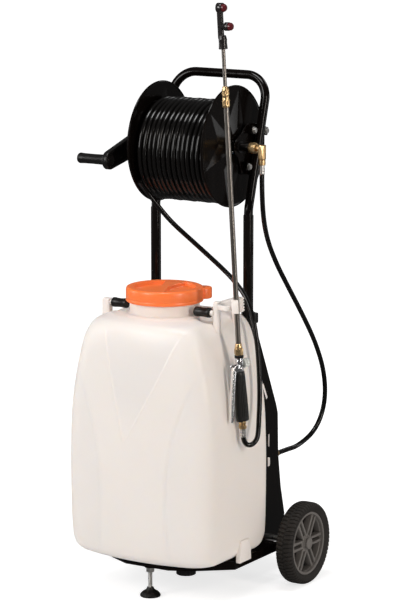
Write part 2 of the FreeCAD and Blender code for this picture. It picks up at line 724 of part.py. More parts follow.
def make_crank_arm():
    """A pressed arm, hollow on its inner side, with the grip's pin fixed in its end."""
    axis = (REEL_Y, REEL_Z)
    end = (CRANK_Y, CRANK_Z)
    wall = 3.0
    arm = link_plate(CRANK_OUTER, CRANK_INNER, axis, 29, end, 22.5)
    hollow = link_plate(CRANK_OUTER + wall, CRANK_INNER + 1, axis, 29 - wall, end, 22.5 - wall)
    arm = arm.cut(hollow)
    hub = on_axis(14, CRANK_OUTER, CRANK_INNER, *axis)
    boss = on_axis(11, CRANK_OUTER, CRANK_INNER, *end)
    collar = on_axis(16, GRIP_START + 1, CRANK_OUTER, *end)
    pin = on_axis(5, GRIP_END + 6, CRANK_OUTER, *end)
    arm = fused([arm, hub, boss, collar, pin])
    return arm.cut(on_axis(SHAFT_R, CRANK_OUTER + 3, CRANK_INNER + 1, *axis))


def make_crank_grip():
    """The grip that turns on its pin, rounded at its free end."""
    length = GRIP_START - GRIP_END
    profile = [(0, 0), (GRIP_R, 0), (GRIP_R, length - 5), (GRIP_R - 1.5, length - 1.5), (GRIP_R - 5, length),
               (0, length)]
    grip = turned(profile, V(GRIP_START, CRANK_Y, CRANK_Z), V(-1, 0, 0))
    return grip.cut(on_axis(5 + RUNNING, GRIP_END + 5.5, GRIP_START, CRANK_Y, CRANK_Z))


def make_swivel():
    """The union nut round the shaft's end, and the brass elbow that the feed hose hangs from."""
    nut_start = 147 + GAP
    nut = hexagon(23, V(nut_start, REEL_Y, REEL_Z), X_AXIS, 19)
    nut = nut.cut(on_axis(SHAFT_R + RUNNING, 100, 158 + GAP, REEL_Y, REEL_Z))
    across = on_axis(8.5, nut_start + 19, ELBOW_X, REEL_Y, REEL_Z)
    shoulder = hexagon(19, V(ELBOW_X, REEL_Y, ELBOW_BOTTOM + 14), Z_AXIS, REEL_Z - ELBOW_BOTTOM - 6)
    tail = rod(7.5, V(ELBOW_X, REEL_Y, ELBOW_BOTTOM), Z_AXIS, 20)
    return nut, fused([across, shoulder, tail])


def make_ferrules():
    """The crimped sleeves at the top of the feed hose and at the gun's end of the spray hose."""
    rings = [(0, 0), (6.6, 0), (7.2, 1.5), (7.2, 6), (6.6, 7), (6.6, 8), (7.2, 9), (7.2, 14), (6.6, 15)]
    upper = turned(rings + [(6.6, FERRULE_LENGTH), (0, FERRULE_LENGTH)],
                   V(ELBOW_X, REEL_Y, ELBOW_BOTTOM - FERRULE_LENGTH), Z_AXIS)
    lower = turned(rings + [(6.6, CONNECTOR_AT), (0, CONNECTOR_AT)], V(0, 0, 0), Z_AXIS)
    return [upper, lance_place(lower)]


# ---------------------------------------------------------------- wheels

def make_axle():
    return on_axis(AXLE_R, -274, 274, AXLE_Y, WHEEL_R)


def make_axle_caps():
    """Push-on caps that keep the wheels on the axle."""
    hub_face = WHEEL_X + HUB_HALF - 4
    cap = on_axis(14, hub_face + GAP, 276.5, AXLE_Y, WHEEL_R).cut(on_axis(AXLE_R, 260, 274, AXLE_Y, WHEEL_R))
    return [cap, mirrored(cap)]


def make_tyre(x):
    """A block-tread tyre: a rounded body with cross grooves cut in its crown."""
    half = TYRE_W / 2
    grooves = 34
    profile = [(RIM_R, -half + 5), (86, -half + 1), (93, -half), (98, -half + 2.5), (WHEEL_R, -half + 8),
               (WHEEL_R, half - 8), (98, half - 2.5), (93, half), (86, half - 1), (RIM_R, half - 5)]
    tyre = turned(profile, V(x, AXLE_Y, WHEEL_R), X_AXIS)
    cuts = []
    for i in range(grooves):
        for side in (-1, 1):
            middle = x + side * half / 2
            cut = block((middle - 9.5, middle + 9.5), (-2.6, 2.6), (WHEEL_R - 4, WHEEL_R + 3))
            cut.rotate(V(x, 0, 0), X_AXIS, (i + 0.25 * side) * 360 / grooves)
            cut.translate(V(0, AXLE_Y, WHEEL_R))
            cuts.append(cut)
    return tyre.cut(cuts)


def make_rim(x):
    """A moulded wheel: rim, hub and six pairs of spokes."""
    pairs = 6
    side = 1 if x > 0 else -1
    half = TYRE_W / 2 - 5
    rim = tube_on_axis(RIM_R, RIM_R - 7, x - half, x + half, AXLE_Y, WHEEL_R)
    hub_low = x - HUB_HALF - 4 * side
    hub = on_axis(17, hub_low, hub_low + 2 * HUB_HALF, AXLE_Y, WHEEL_R)
    spokes = []
    for i in range(pairs):
        for lean in (-11, 11):
            spoke = block((x - 6, x + 6), (-3.5, 3.5), (8, RIM_R - 3))
            spoke.rotate(V(x, 0, 0), X_AXIS, i * 360 / pairs + lean)
            spoke.translate(V(0, AXLE_Y, WHEEL_R))
            spokes.append(spoke)
    wheel = fused([rim, hub] + spokes)
    return wheel.cut(on_axis(AXLE_R + RUNNING, -300, 300, AXLE_Y, WHEEL_R))


# ---------------------------------------------------------------- gun and lance

TRIGGER_PIVOT = (-20.0, 169.0)      # (Y, distance up the lance) before the gun is turned


def make_gun_connector():
    nut = hexagon(17, V(0, 0, CONNECTOR_AT), Z_AXIS, 10)
    body = rod(9, V(0, 0, CONNECTOR_AT + 10), Z_AXIS, GRIP_AT - CONNECTOR_AT - 10)
    return lance_place(fused([nut, body]))


def oval(z, front, back, half):
    """An oval outline across the lance, from Y = front to Y = back."""
    centre = V(0, (front + back) / 2, z)
    long_half = (back - front) / 2
    ellipse = Part.Ellipse(centre + V(0, long_half, 0), centre + V(half, 0, 0), centre)
    return Part.Wire(ellipse.toShape())


def make_gun_grip():
    """The moulded grip, fluted along its back."""
    length = VALVE_AT - GRIP_AT
    body = Part.makeLoft([oval(GRIP_AT, -19, 22, 12.5), oval(GRIP_AT + 0.35 * length, -21, 24, 14),
                          oval(GRIP_AT + 0.75 * length, -18, 21, 13.5), oval(VALVE_AT, -15, 16, 12.5)], True, False)
    flutes = []
    for i in range(9):
        angle = math.radians(-64 + 16 * i)
        foot = V(14.6 * math.sin(angle), 1 + 23.4 * math.cos(angle), GRIP_AT + 12)
        flutes.append(rod(1.4, foot, Z_AXIS, length - 27))
    return lance_place(body.cut(flutes))


def make_valve_body():
    """Chrome body between grip and lance, with the trigger's fork and the flow valve's neck."""
    core = rod(9.5, V(0, 0, VALVE_AT), Z_AXIS, 33)
    top = rod(10.5, V(0, 0, VALVE_AT + 33), Z_AXIS, NUT_AT - VALVE_AT - 33)
    neck = rod(5, V(0, 0, VALVE_AT + 17), Y_AXIS, 25)
    y, s = TRIGGER_PIVOT
    ears = [block((x, x + 2.5), (y - 5, 0), (s - 5, s + 9)) for x in (-8.5, 6)]
    pin = rod(2, V(-8.5, y, s), X_AXIS, 17)
    return lance_place(fused([core, top, neck, pin] + ears))


def make_trigger():
    """The long squeeze lever in front of the grip, hung on a pin at its top."""
    y, s = TRIGGER_PIVOT
    outline = [(y + 4, s + 5), (y - 4, s + 5), (y - 6, s - 4), (-34, 113), (-41, 56), (-43, 43), (-36, 43),
               (-34, 56), (-27, 113), (y + 3, s - 5)]
    lever = plate_yz(outline, -4, 4)
    lever = lever.cut(rod(2 + RUNNING, V(-10, y, s), X_AXIS, 20))
    return lance_place(lever)


def make_flow_knob():
    """The round knob of the flow valve, on the neck behind the valve body."""
    start = V(0, 11, VALVE_AT + 17)
    knob = turned([(0, 0), (10, 0), (11.5, 2), (11.5, 13), (9.5, 15.5), (0, 15.5)], start, Y_AXIS)
    return lance_place(knob.cut(rod(5 + RUNNING, V(0, 0, VALVE_AT + 17), Y_AXIS, 25 + GAP)))


def make_lance_nut():
    nut = hexagon(19, V(0, 0, NUT_AT), Z_AXIS, 19)
    cone = Part.makeCone(9, 7.5, 11, V(0, 0, NUT_AT + 19), Z_AXIS)
    return lance_place(fused([nut, cone]).cut(rod(LOWER_TUBE_R, V(0, 0, LOWER_TUBE_AT), Z_AXIS, 40)))


def make_lower_tube():
    length = LOWER_TUBE_TOP - LOWER_TUBE_AT
    return lance_place(ring(LOWER_TUBE_R, UPPER_TUBE_R + RUNNING, V(0, 0, LOWER_TUBE_AT), Z_AXIS, length))


def make_collet():
    """The clamping nut at the top of the lower tube."""
    waist = [(0, 0), (7.5, 0), (8.5, 3), (8.5, 20), (7.6, 23), (7.6, 26), (8.5, 29), (8.5, 42), (6, 49), (0, 49)]
    collet = turned(waist, V(0, 0, COLLET_AT), Z_AXIS)
    depth = LOWER_TUBE_TOP + GAP - COLLET_AT
    collet = collet.cut(rod(LOWER_TUBE_R + RUNNING, V(0, 0, COLLET_AT), Z_AXIS, depth))
    return lance_place(collet.cut(rod(UPPER_TUBE_R + RUNNING, V(0, 0, COLLET_AT), Z_AXIS, 60)))


def make_upper_tube():
    length = HEAD_AT + 8 - UPPER_TUBE_AT
    return lance_place(ring(UPPER_TUBE_R, UPPER_TUBE_R - 1.2, V(0, 0, UPPER_TUBE_AT), Z_AXIS, length))


def make_nozzle_head():
    """The forked head: a sleeve on the tube, a spine, and a body for each nozzle."""
    sleeve = turned([(0, 0), (10.5, 0), (9.5, 14), (10, 22), (8, 31), (0, 31)], V(0, 0, HEAD_AT), Z_AXIS)
    spine = block((-9, 1), (-6, 6), (HEAD_AT + 24, NOZZLE_HIGH))
    back = rod(5.5, V(-2, 0, HEAD_AT + 24), Z_AXIS, NOZZLE_HIGH - HEAD_AT - 24)
    branch = rod(6.5, V(-4, 0, NOZZLE_LOW), X_AXIS, 18)
    low_body = rod(10, V(9, 0, NOZZLE_LOW), X_AXIS, 10)
    high_body = rod(11.5, V(-9, 0, NOZZLE_HIGH), X_AXIS, 13)
    seats = [rod(6, V(x, 0, s), X_AXIS, 4) for x, s in ((18, NOZZLE_LOW), (3, NOZZLE_HIGH))]
    head = fused([sleeve, spine, back, branch, low_body, high_body] + seats)
    return lance_place(head.cut(rod(UPPER_TUBE_R, V(0, 0, HEAD_AT), Z_AXIS, 8)), 0)


def make_nozzle(x, s):
    """A spray tip that turns on its seat."""
    tip = turned([(0, 0), (9, 0), (9, 5), (6.5, 8.5), (3, 10), (0, 10)], V(x, 0, s), X_AXIS)
    return lance_place(tip.cut(rod(6 + RUNNING, V(x - 1, 0, s), X_AXIS, 4.5)), 0)


def make_lance_clip():
    """Toothed jaws beside the right rail, which the lower tube of the lance snaps into."""
    grip_low = 302.0
    height = 32.0
    jaw = ring(12, LOWER_TUBE_R + 0.1, V(0, 0, grip_low), Z_AXIS, height)
    mouth = plate_xy([(2, 0), (20, -11), (20, 11)], grip_low - 1, grip_low + height + 1)
    comb = block((-14, 6), (9, 17), (grip_low, grip_low + height + 4))
    teeth = [plate_xy([(0, -7), (5, 0), (0, 7)], 0, 30) for _ in range(3)]
    for i, tooth in enumerate(teeth):
        tooth.rotate(V(0, 0, 0), Y_AXIS, -90)
        tooth.translate(V(21, 13, 0))
        tooth.rotate(V(0, 13, 0), V(0, 0, 1), 90)
        tooth.translate(V(-11 + 7 * i, 0, grip_low + height + 1))
    hooked = fused([jaw, comb]).cut(mouth)
    placed = lance_place(hooked, 0)
    arm = block((161, 203), (-124, -108), (712, 724))
    arm = arm.cut(lance_place(rod(11, V(0, 0, 243), Z_AXIS, 150), 0))
    return fused([placed, arm])


# ---------------------------------------------------------------- all nodes

def main():
    os.makedirs("parts", exist_ok=True)
    outside = tank_body(0)
    nut, stem, pad = make_foot()
    swivel_nut, elbow = make_swivel()
    handle_solid = bent_rod(handle_path(), HANDLE_R)
    handle_bore = bent_rod(handle_path(), HANDLE_R - 1.5)
    nodes = {
        "tank": [make_tank(outside)],
        "strainer": [make_strainer()],
        "filler_cap": [make_cap()],
        "cap_gasket": [make_gasket()],
        "top_rails": [make_top_rail(outside), make_shoulder_lug(outside)],
        "lifting_grips": make_lifting_grips(),
        "tank_side_clips": make_side_clips(outside),
        "drain_cap": [make_drain_cap()],
        "lance_clip": [make_lance_clip()],
        "base_pan": [make_pan()],
        "foot_lock_nut": [nut],
        "foot_stem": [stem],
        "foot_pad": [pad],
        "uprights": make_uprights(),
        "handle_tube": [handle_solid.cut(handle_bore)],
        "frame_collars": make_collars(),
        "cheek_plates": make_cheeks(),
        "rear_cover": [make_rear_cover()],
        "pump_cover": [make_pump_cover()],
        "outlet_fitting": [make_outlet_fitting()],
        "switch_rocker": [make_rocker()],
        "pump_head": [make_pump_head()],
        "pump_motor": [make_pump_motor()],
        "battery_shelf": [make_shelf()],
        "battery": [make_battery()],
        "pump_pipes": make_pipes(),
        "reel_brackets": make_brackets(),
        "bracket_clamps": make_clamps(handle_solid),
        "frame_bolts": make_frame_bolts(),
        "reel_bushes": make_bushes(),
        "reel_shaft": [make_shaft()],
        "drum_core": [make_drum()],
        "flange_left": [make_flange(FLANGE_LEFT, -1)],
        "flange_right": [make_flange(FLANGE_RIGHT, 1)],
        "hose_coil": [make_coil()],
        "crank_arm": [make_crank_arm()],
        "crank_grip": [make_crank_grip()],
        "swivel_nut": [swivel_nut],
        "swivel_elbow": [elbow],
        "hose_ferrules": make_ferrules(),
        "feed_hose": [hose("feed_hose", FEED_ROUTE)],
        "spray_hose": [hose("spray_hose", SPRAY_ROUTE)],
        "axle": [make_axle()],
        "axle_caps": make_axle_caps(),
        "rim_left": [make_rim(-WHEEL_X)],
        "tyre_left": [make_tyre(-WHEEL_X)],
        "rim_right": [make_rim(WHEEL_X)],
        "tyre_right": [make_tyre(WHEEL_X)],
        "gun_connector": [make_gun_connector()],
        "gun_grip": [make_gun_grip()],
        "valve_body": [make_valve_body()],
        "trigger_lever": [make_trigger()],
        "flow_knob": [make_flow_knob()],
        "lance_nut": [make_lance_nut()],
        "lance_lower_tube": [make_lower_tube()],
        "lance_collet": [make_collet()],
        "lance_upper_tube": [make_upper_tube()],
        "nozzle_head": [make_nozzle_head()],
        "nozzle_upper": [make_nozzle(4.3, NOZZLE_HIGH)],
        "nozzle_lower": [make_nozzle(19.3, NOZZLE_LOW)],
    }
    for name, shapes in nodes.items():
        save(name, shapes)
    print(len(nodes), "nodes")


main()
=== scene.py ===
import bpy
import bmesh
import json
import math
import numpy as np
from mathutils import Matrix, Vector


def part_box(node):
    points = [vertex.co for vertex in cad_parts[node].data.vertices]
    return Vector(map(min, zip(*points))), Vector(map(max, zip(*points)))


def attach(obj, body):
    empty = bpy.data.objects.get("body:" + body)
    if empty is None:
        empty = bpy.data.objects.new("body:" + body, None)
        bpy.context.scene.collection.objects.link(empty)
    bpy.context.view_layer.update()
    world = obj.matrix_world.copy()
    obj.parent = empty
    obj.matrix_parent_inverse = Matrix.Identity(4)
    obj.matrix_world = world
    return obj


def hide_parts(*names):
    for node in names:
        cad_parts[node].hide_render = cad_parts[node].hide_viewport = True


# Looks of the wheeled sprayer cart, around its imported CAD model. Metres, except in the tables given to mm().
# +Z is up and -Y is the cart's front.

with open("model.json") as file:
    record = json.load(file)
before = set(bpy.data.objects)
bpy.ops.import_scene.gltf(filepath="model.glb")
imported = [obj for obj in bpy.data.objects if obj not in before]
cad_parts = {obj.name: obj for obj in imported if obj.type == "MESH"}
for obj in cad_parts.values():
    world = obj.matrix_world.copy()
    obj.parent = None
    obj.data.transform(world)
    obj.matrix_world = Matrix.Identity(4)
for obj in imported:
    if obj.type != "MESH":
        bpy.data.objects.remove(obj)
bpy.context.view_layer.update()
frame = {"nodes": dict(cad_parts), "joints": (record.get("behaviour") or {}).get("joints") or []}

JOINTS = {joint["name"]: joint for joint in frame["joints"]}
NODES = frame["nodes"]
X_AXIS = Vector((1, 0, 0))
Y_AXIS = Vector((0, 1, 0))
Z_AXIS = Vector((0, 0, 1))
MM = 0.001


def mm(points):
    """Points given in millimetres, in metres."""
    return [tuple(v * MM for v in point) for point in points]


def new_object(name, data):
    """A new object, put in the scene."""
    made = bpy.data.objects.new(name, data)
    bpy.context.scene.collection.objects.link(made)
    return made


def pivot(joint):
    return Vector(JOINTS[joint]["pos_m"])


def axis_of(joint):
    return Vector(JOINTS[joint]["axis"]).normalized()


def frame_at(origin, x_axis, z_axis):
    """The matrix of a local frame from its origin, X axis and Z axis."""
    y_axis = z_axis.cross(x_axis)
    columns = Matrix((x_axis, y_axis, z_axis)).transposed().to_4x4()
    return Matrix.Translation(origin) @ columns


REEL = pivot("reel_spin")
CRANK = pivot("crank_grip_spin")
WHEEL_LEFT = pivot("wheel_left_spin")
WHEEL_RIGHT = pivot("wheel_right_spin")
CAP_AXIS = pivot("cap_turn")
LANCE_UP = axis_of("lance_extend")
COLLET_MIDDLE = 0.813                       # distance up the lance of the collet's pivot
LANCE_BASE = pivot("collet_turn") - LANCE_UP * COLLET_MIDDLE
GUN = frame_at(LANCE_BASE, axis_of("trigger_squeeze"), LANCE_UP)
HEAD = frame_at(LANCE_BASE, axis_of("upper_nozzle_turn"), LANCE_UP)

# ---------------------------------------------------------------- camera and cords

CAMERA_AT = Vector((3.517, -5.644, 1.930))
CAMERA_ELEVATION = 10.47
CAMERA_AZIMUTH = 31.62
LENS = 167.2
HOSE_R = 0.006
COIL_TURNS = (15, 14)
COIL_POINTS = 16                            # control points in each turn
COIL_SAG = 0.015                            # how far the loose turns hang below the drum's axis
COIL_ROOM = 0.0072                          # from the winding's end to its first turn's middle
COIL_RADII = (0.1085, 0.1193)
COIL_WANDER, COIL_WANDER_RATE = 0.0011, 7.3     # how the turns stray sideways
COIL_SWELL, COIL_SWELL_RATE = 0.0006, 2.1       # how the outer layer's radius changes
WORLD_LIGHT = 0.11                          # the world as a light, and as the camera sees it
WORLD_SEEN = 1.05
FLOOR_BOUNCE = 0.33


def make_camera():
    data = bpy.data.cameras.new("camera")
    data.lens = LENS
    data.clip_end = 50
    camera = new_object("camera", data)
    camera.location = CAMERA_AT
    camera.rotation_euler = (math.radians(90 - CAMERA_ELEVATION), 0, math.radians(CAMERA_AZIMUTH))
    bpy.context.scene.camera = camera


def hose_curve(name, points, material, smoothness=6):
    """A hose: a round tube on one smooth spline, with the route's points as its control points."""
    curve = bpy.data.curves.new(name, "CURVE")
    curve.dimensions = "3D"
    curve.bevel_depth = HOSE_R
    curve.bevel_resolution = 5
    curve.resolution_u = smoothness
    curve.use_fill_caps = True
    spline = curve.splines.new("NURBS")
    spline.points.add(len(points) - 1)
    for target, point in zip(spline.points, points):
        target.co = (*point, 1)
    spline.order_u = 3
    spline.use_endpoint_u = True
    curve.materials.append(material)
    return new_object(name, curve)


FEED_ROUTE = [
    (0.181, 0.054, 1.016), (0.181, 0.054, 0.948), (0.180, 0.074, 0.868), (0.179, 0.122, 0.796),
    (0.177, 0.190, 0.722), (0.174, 0.268, 0.640), (0.169, 0.345, 0.555), (0.163, 0.402, 0.468),
    (0.156, 0.420, 0.385), (0.147, 0.388, 0.320), (0.134, 0.318, 0.291), (0.130, 0.270, 0.292),
    (0.130, 0.222, 0.292),
]
SPRAY_ROUTE = [
    (-0.088, -0.068, 0.993), (-0.080, -0.047, 0.967), (-0.062, -0.030, 0.934), (-0.034, -0.012, 0.893),
    (0.005, 0.009, 0.853), (0.045, 0.019, 0.819), (0.086, 0.024, 0.787), (0.124, 0.024, 0.757),
    (0.159, 0.017, 0.724), (0.187, 0.002, 0.684), (0.204, -0.008, 0.633), (0.213, -0.013, 0.580),
    (0.220, -0.020, 0.525), (0.227, -0.031, 0.478), (0.233, -0.045, 0.443), (0.239, -0.057, 0.419),
    (0.242, -0.068, 0.399), (0.234, -0.081, 0.386), (0.2225, -0.094, 0.391), (0.2208, -0.0974, 0.409),
]


def coil_points():
    """The wound hose: one layer on the drum, then a second one back over it, both slack below the drum."""
    drum_low, drum_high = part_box("hose_coil")
    start, stop = drum_low.x + COIL_ROOM, drum_high.x - COIL_ROOM
    step = 2 * math.pi / COIL_POINTS
    outside = 1 / math.cos(step / 2)        # control points stand outside the round they draw
    points = []
    for layer, turns in enumerate(COIL_TURNS):
        count = turns * COIL_POINTS
        for i in range(count):
            share = i / (count - 1)
            angle = (len(points) + 3) * step
            across = share if layer == 0 else 1 - share
            wander = COIL_WANDER * math.sin(COIL_WANDER_RATE * share * turns) * math.sin(math.pi * share)
            x = start + (stop - start) * across + wander
            swell = COIL_SWELL * math.sin(COIL_SWELL_RATE * share * turns) * layer
            r = (COIL_RADII[layer] + swell) * outside
            points.append((x, REEL.y + r * math.cos(angle), REEL.z - COIL_SAG + r * math.sin(angle)))
    return points


# ---------------------------------------------------------------- materials

def set_inputs(node, values):
    for socket, value in values.items():
        node.inputs[socket].default_value = value


def shader_node(tree, kind, values=None, **settings):
    """A new shader node with its settings, then the values of its inputs."""
    node = tree.nodes.new("ShaderNode" + kind)
    for setting, value in settings.items():
        setattr(node, setting, value)
    set_inputs(node, values or {})
    return node


def join(tree, source, output, target, socket):
    tree.links.new(source.outputs[output], target.inputs[socket])


def new_material(name):
    """A material, its node tree and its main shader."""
    material = bpy.data.materials.new(name)
    material.use_nodes = True
    return material, material.node_tree, material.node_tree.nodes["Principled BSDF"]


def link_noise(tree, scale, detail, stretch, target, socket):
    """Drives an input with a noise texture in object coordinates, stretched along an axis if asked."""
    where = shader_node(tree, "TexCoord")
    mapping = shader_node(tree, "Mapping", {"Scale": stretch})
    noise = shader_node(tree, "TexNoise", {"Scale": scale, "Detail": detail})
    join(tree, where, "Object", mapping, "Vector")
    join(tree, mapping, "Vector", noise, "Vector")
    join(tree, noise, "Fac", target, socket)


def surface(name, colour, roughness, metallic=0.0, vary=0.12, vary_scale=9.0, grain=600.0,
            grain_depth=0.00004, rough_vary=0.12, edge=None, stretch=(1, 1, 1), specular=0.5, **sockets):
    """A shader with mottled colour, uneven gloss, fine grain, and rubbed edges if edge is a colour."""
    material, tree, shader = new_material(name)
    set_inputs(shader, {"Metallic": metallic, "Specular IOR Level": specular})
    set_inputs(shader, {socket.replace("_", " "): value for socket, value in sockets.items()})
    dark, light = ((*[min(1.0, c * (1 + change)) for c in colour], 1) for change in (-vary, vary))
    tint = shader_node(tree, "Mix", {"A": dark, "B": light}, data_type="RGBA")
    link_noise(tree, vary_scale, 5.0, stretch, tint, "Factor")
    if edge is not None:
        geometry = shader_node(tree, "NewGeometry")
        sharp = shader_node(tree, "MapRange", {"From Min": 0.54, "From Max": 0.66, "To Max": 0.5})
        worn = shader_node(tree, "Mix", {"B": (*edge, 1)}, data_type="RGBA")
        join(tree, geometry, "Pointiness", sharp, "Value")
        join(tree, sharp, "Result", worn, "Factor")
        join(tree, tint, "Result", worn, "A")
        tint = worn
    join(tree, tint, "Result", shader, "Base Color")
    gloss = shader_node(tree, "MapRange", {"To Min": max(0.02, roughness * (1 - rough_vary)),
                                           "To Max": min(1.0, roughness * (1 + rough_vary))})
    link_noise(tree, vary_scale * 4, 3.0, stretch, gloss, "Value")
    join(tree, gloss, "Result", shader, "Roughness")
    bump = shader_node(tree, "Bump", {"Distance": grain_depth, "Strength": 0.6})
    link_noise(tree, grain, 2.0, stretch, bump, "Height")
    join(tree, bump, "Normal", shader, "Normal")
    return material


TANK = surface("tank_polyethylene", (0.88, 0.785, 0.725), 0.38, vary=0.025, vary_scale=5, grain=260,
               grain_depth=0.00012, Subsurface_Weight=0.35, Subsurface_Radius=(0.020, 0.014, 0.010),
               Subsurface_Scale=0.6, specular=0.35)
WHITE = surface("white_moulding", (0.86, 0.80, 0.755), 0.36, vary=0.03, vary_scale=14, grain=420,
                grain_depth=0.00008, Subsurface_Weight=0.2, Subsurface_Radius=(0.006, 0.005, 0.004),
                specular=0.4)
ORANGE = surface("orange_moulding", (1.0, 0.20, 0.045), 0.34, vary=0.07, vary_scale=16, grain=380,
                 grain_depth=0.00007, Subsurface_Weight=0.15, Subsurface_Radius=(0.006, 0.002, 0.001))
BLACK_PLASTIC = surface("black_moulding", (0.0050, 0.0045, 0.0043), 0.34, vary=0.25, vary_scale=24, grain=900,
                        grain_depth=0.00006, rough_vary=0.25, specular=0.28)
BLACK_PAINT = surface("black_powder_coat", (0.0026, 0.0015, 0.0012), 0.13, vary=0.3, vary_scale=12,
                      grain=1300, grain_depth=0.000008, rough_vary=0.3, edge=(0.007, 0.006, 0.005),
                      specular=0.20)
REEL_PAINT = surface("black_reel_paint", (0.0032, 0.0022, 0.0018), 0.17, vary=0.3, vary_scale=10, grain=900,
                     grain_depth=0.00001, rough_vary=0.3, edge=(0.010, 0.009, 0.008), specular=0.15)
HOSE = surface("black_hose", (0.0032, 0.0028, 0.0026), 0.15, vary=0.3, vary_scale=30, grain=1200,
               grain_depth=0.000008, rough_vary=0.35, specular=0.32)
RUBBER = surface("rubber", (0.020, 0.018, 0.017), 0.62, vary=0.3, vary_scale=40, grain=1500,
                 grain_depth=0.00006)
TYRE = surface("tyre_rubber", (0.022, 0.019, 0.0165), 0.66, vary=0.35, vary_scale=28, grain=1100,
               grain_depth=0.00015, rough_vary=0.15, edge=(0.06, 0.054, 0.048), specular=0.3)
RIM = surface("rim_nylon", (0.150, 0.138, 0.127), 0.46, vary=0.2, vary_scale=22, grain=800,
              grain_depth=0.00008, edge=(0.24, 0.225, 0.21))
ZINC = surface("zinc_plate", (0.76, 0.74, 0.71), 0.30, metallic=1.0, vary=0.1, vary_scale=30, grain=700,
               grain_depth=0.000006, rough_vary=0.3)
STEEL_TUBE = surface("steel_lance_tube", (0.29, 0.265, 0.24), 0.33, metallic=1.0, vary=0.10, vary_scale=16,
                     grain=900, grain_depth=0.000003, rough_vary=0.25, stretch=(1, 1, 0.05))
BRASS = surface("turned_brass", (0.80, 0.55, 0.28), 0.30, metallic=1.0, vary=0.14, vary_scale=60, grain=1600,
                grain_depth=0.000012, rough_vary=0.35, edge=(0.95, 0.75, 0.45))
DARK_STEEL = surface("dark_steel", (0.055, 0.050, 0.047), 0.30, metallic=1.0, vary=0.15, vary_scale=40,
                     grain=900, grain_depth=0.00002, rough_vary=0.35)
CHROME = surface("chrome", (0.66, 0.66, 0.67), 0.17, metallic=1.0, vary=0.02, vary_scale=20, grain=300,
                 grain_depth=0.000003, rough_vary=0.3)
LEVER = surface("plated_lever", (0.95, 0.95, 0.95), 0.25, metallic=1.0, vary=0.03, vary_scale=30, grain=300,
                grain_depth=0.000003, rough_vary=0.3)
GRIP_PLASTIC = surface("grip_moulding", (0.010, 0.0098, 0.009), 0.30, vary=0.25, vary_scale=40, grain=1000,
                       grain_depth=0.00008, specular=0.45)
KNOB = surface("clear_white_knob", (0.62, 0.64, 0.60), 0.22, vary=0.06, vary_scale=60, grain=500,
               grain_depth=0.00005, Subsurface_Weight=0.4, Subsurface_Radius=(0.004, 0.004, 0.004))
GLOSS_BLACK = surface("gloss_black_moulding", (0.011, 0.009, 0.009), 0.2, vary=0.2, vary_scale=40, grain=700,
                      grain_depth=0.00004)
MAROON = surface("dark_red_moulding", (0.085, 0.006, 0.010), 0.26, vary=0.15, vary_scale=60, grain=700,
                 grain_depth=0.00004)
CAST_BLACK = surface("pump_casting", (0.018, 0.017, 0.016), 0.5, vary=0.3, vary_scale=30, grain=500,
                     grain_depth=0.0002)
STRAINER = surface("strainer_moulding", (0.020, 0.020, 0.020), 0.5, vary=0.2, vary_scale=30, grain=900,
                   grain_depth=0.00008)

# The CAD nodes that keep their own mesh, under the look that each gets
NODE_LOOKS = (
    (STRAINER, "strainer"),
    (RUBBER, "cap_gasket"),
    (BLACK_PAINT, "base_pan uprights handle_tube cheek_plates rear_cover battery_shelf reel_brackets "
                  "bracket_clamps"),
    (BLACK_PLASTIC, "pump_cover battery reel_bushes"),
    (BRASS, "outlet_fitting"),
    (GLOSS_BLACK, "switch_rocker nozzle_head"),
    (CAST_BLACK, "pump_head"),
    (ZINC, "pump_motor hose_ferrules axle"),
    (HOSE, "pump_pipes"),
    (DARK_STEEL, "reel_shaft"),
    (REEL_PAINT, "drum_core"),
    (STEEL_TUBE, "lance_lower_tube lance_upper_tube"),
    (MAROON, "nozzle_upper nozzle_lower"),
)


def dress_nodes():
    for look, names in NODE_LOOKS:
        for name in names.split():
            NODES[name].data.materials.clear()
            NODES[name].data.materials.append(look)


# ---------------------------------------------------------------- mesh helpers

def add_piece(name, verts, faces, material, body, replaces=(), crease=40.0, slot=None):
    """A mesh object with outward faces, smooth except across creases, that rides on a body."""
    mesh = bpy.data.meshes.new(name)
    mesh.from_pydata([tuple(v) for v in verts], [], faces)
    shape = bmesh.new()
    shape.from_mesh(mesh)
    bmesh.ops.remove_doubles(shape, verts=shape.verts, dist=1e-6)
    bmesh.ops.recalc_face_normals(shape, faces=shape.faces)
    shape.to_mesh(mesh)
    shape.free()
    mesh.polygons.foreach_set("use_smooth", [True] * len(mesh.polygons))
    mesh.set_sharp_from_angle(angle=math.radians(crease))
    mesh.materials.append(material)
    piece = new_object(name, mesh)
    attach(piece, body)
    if replaces:
        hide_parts(*replaces)


def grid_faces(rows, columns, looped=False):
    """Quads between rows of points that each wrap round. When looped, the last row joins the first."""
    faces = []
    for i in range(rows if looped else rows - 1):
        low, high = i * columns, (i + 1) % rows * columns
        for j in range(columns):
            k = (j + 1) % columns
            faces.append((low + j, low + k, high + k, high + j))
    return faces


def closed_faces(rows, columns):
    """The faces of a grid with a flat face over each end."""
    last = (rows - 1) * columns
    return [*grid_faces(rows, columns), list(range(columns))[::-1], list(range(last, last + columns))]


def pointed_grid(rows, first_point, last_point):
    """Points and faces of rows whose two ends each close onto a point."""
    columns = len(rows[0])
    count = len(rows) * columns
    last = count - columns
    faces = grid_faces(len(rows), columns)
    for j in range(columns):
        k = (j + 1) % columns
        faces += [(count, k, j), (count + 1, last + j, last + k)]
    return np.vstack([*rows, [first_point], [last_point]]), faces


def round_angles(columns):
    return np.linspace(0, 2 * math.pi, columns, endpoint=False)


def ring(r, z, angles, centre=(0, 0)):
    """A row of points round a vertical line; r and z may change from point to point."""
    flat = np.ones(len(angles))
    return np.column_stack([centre[0] + r * np.cos(angles), centre[1] + r * np.sin(angles), z * flat])


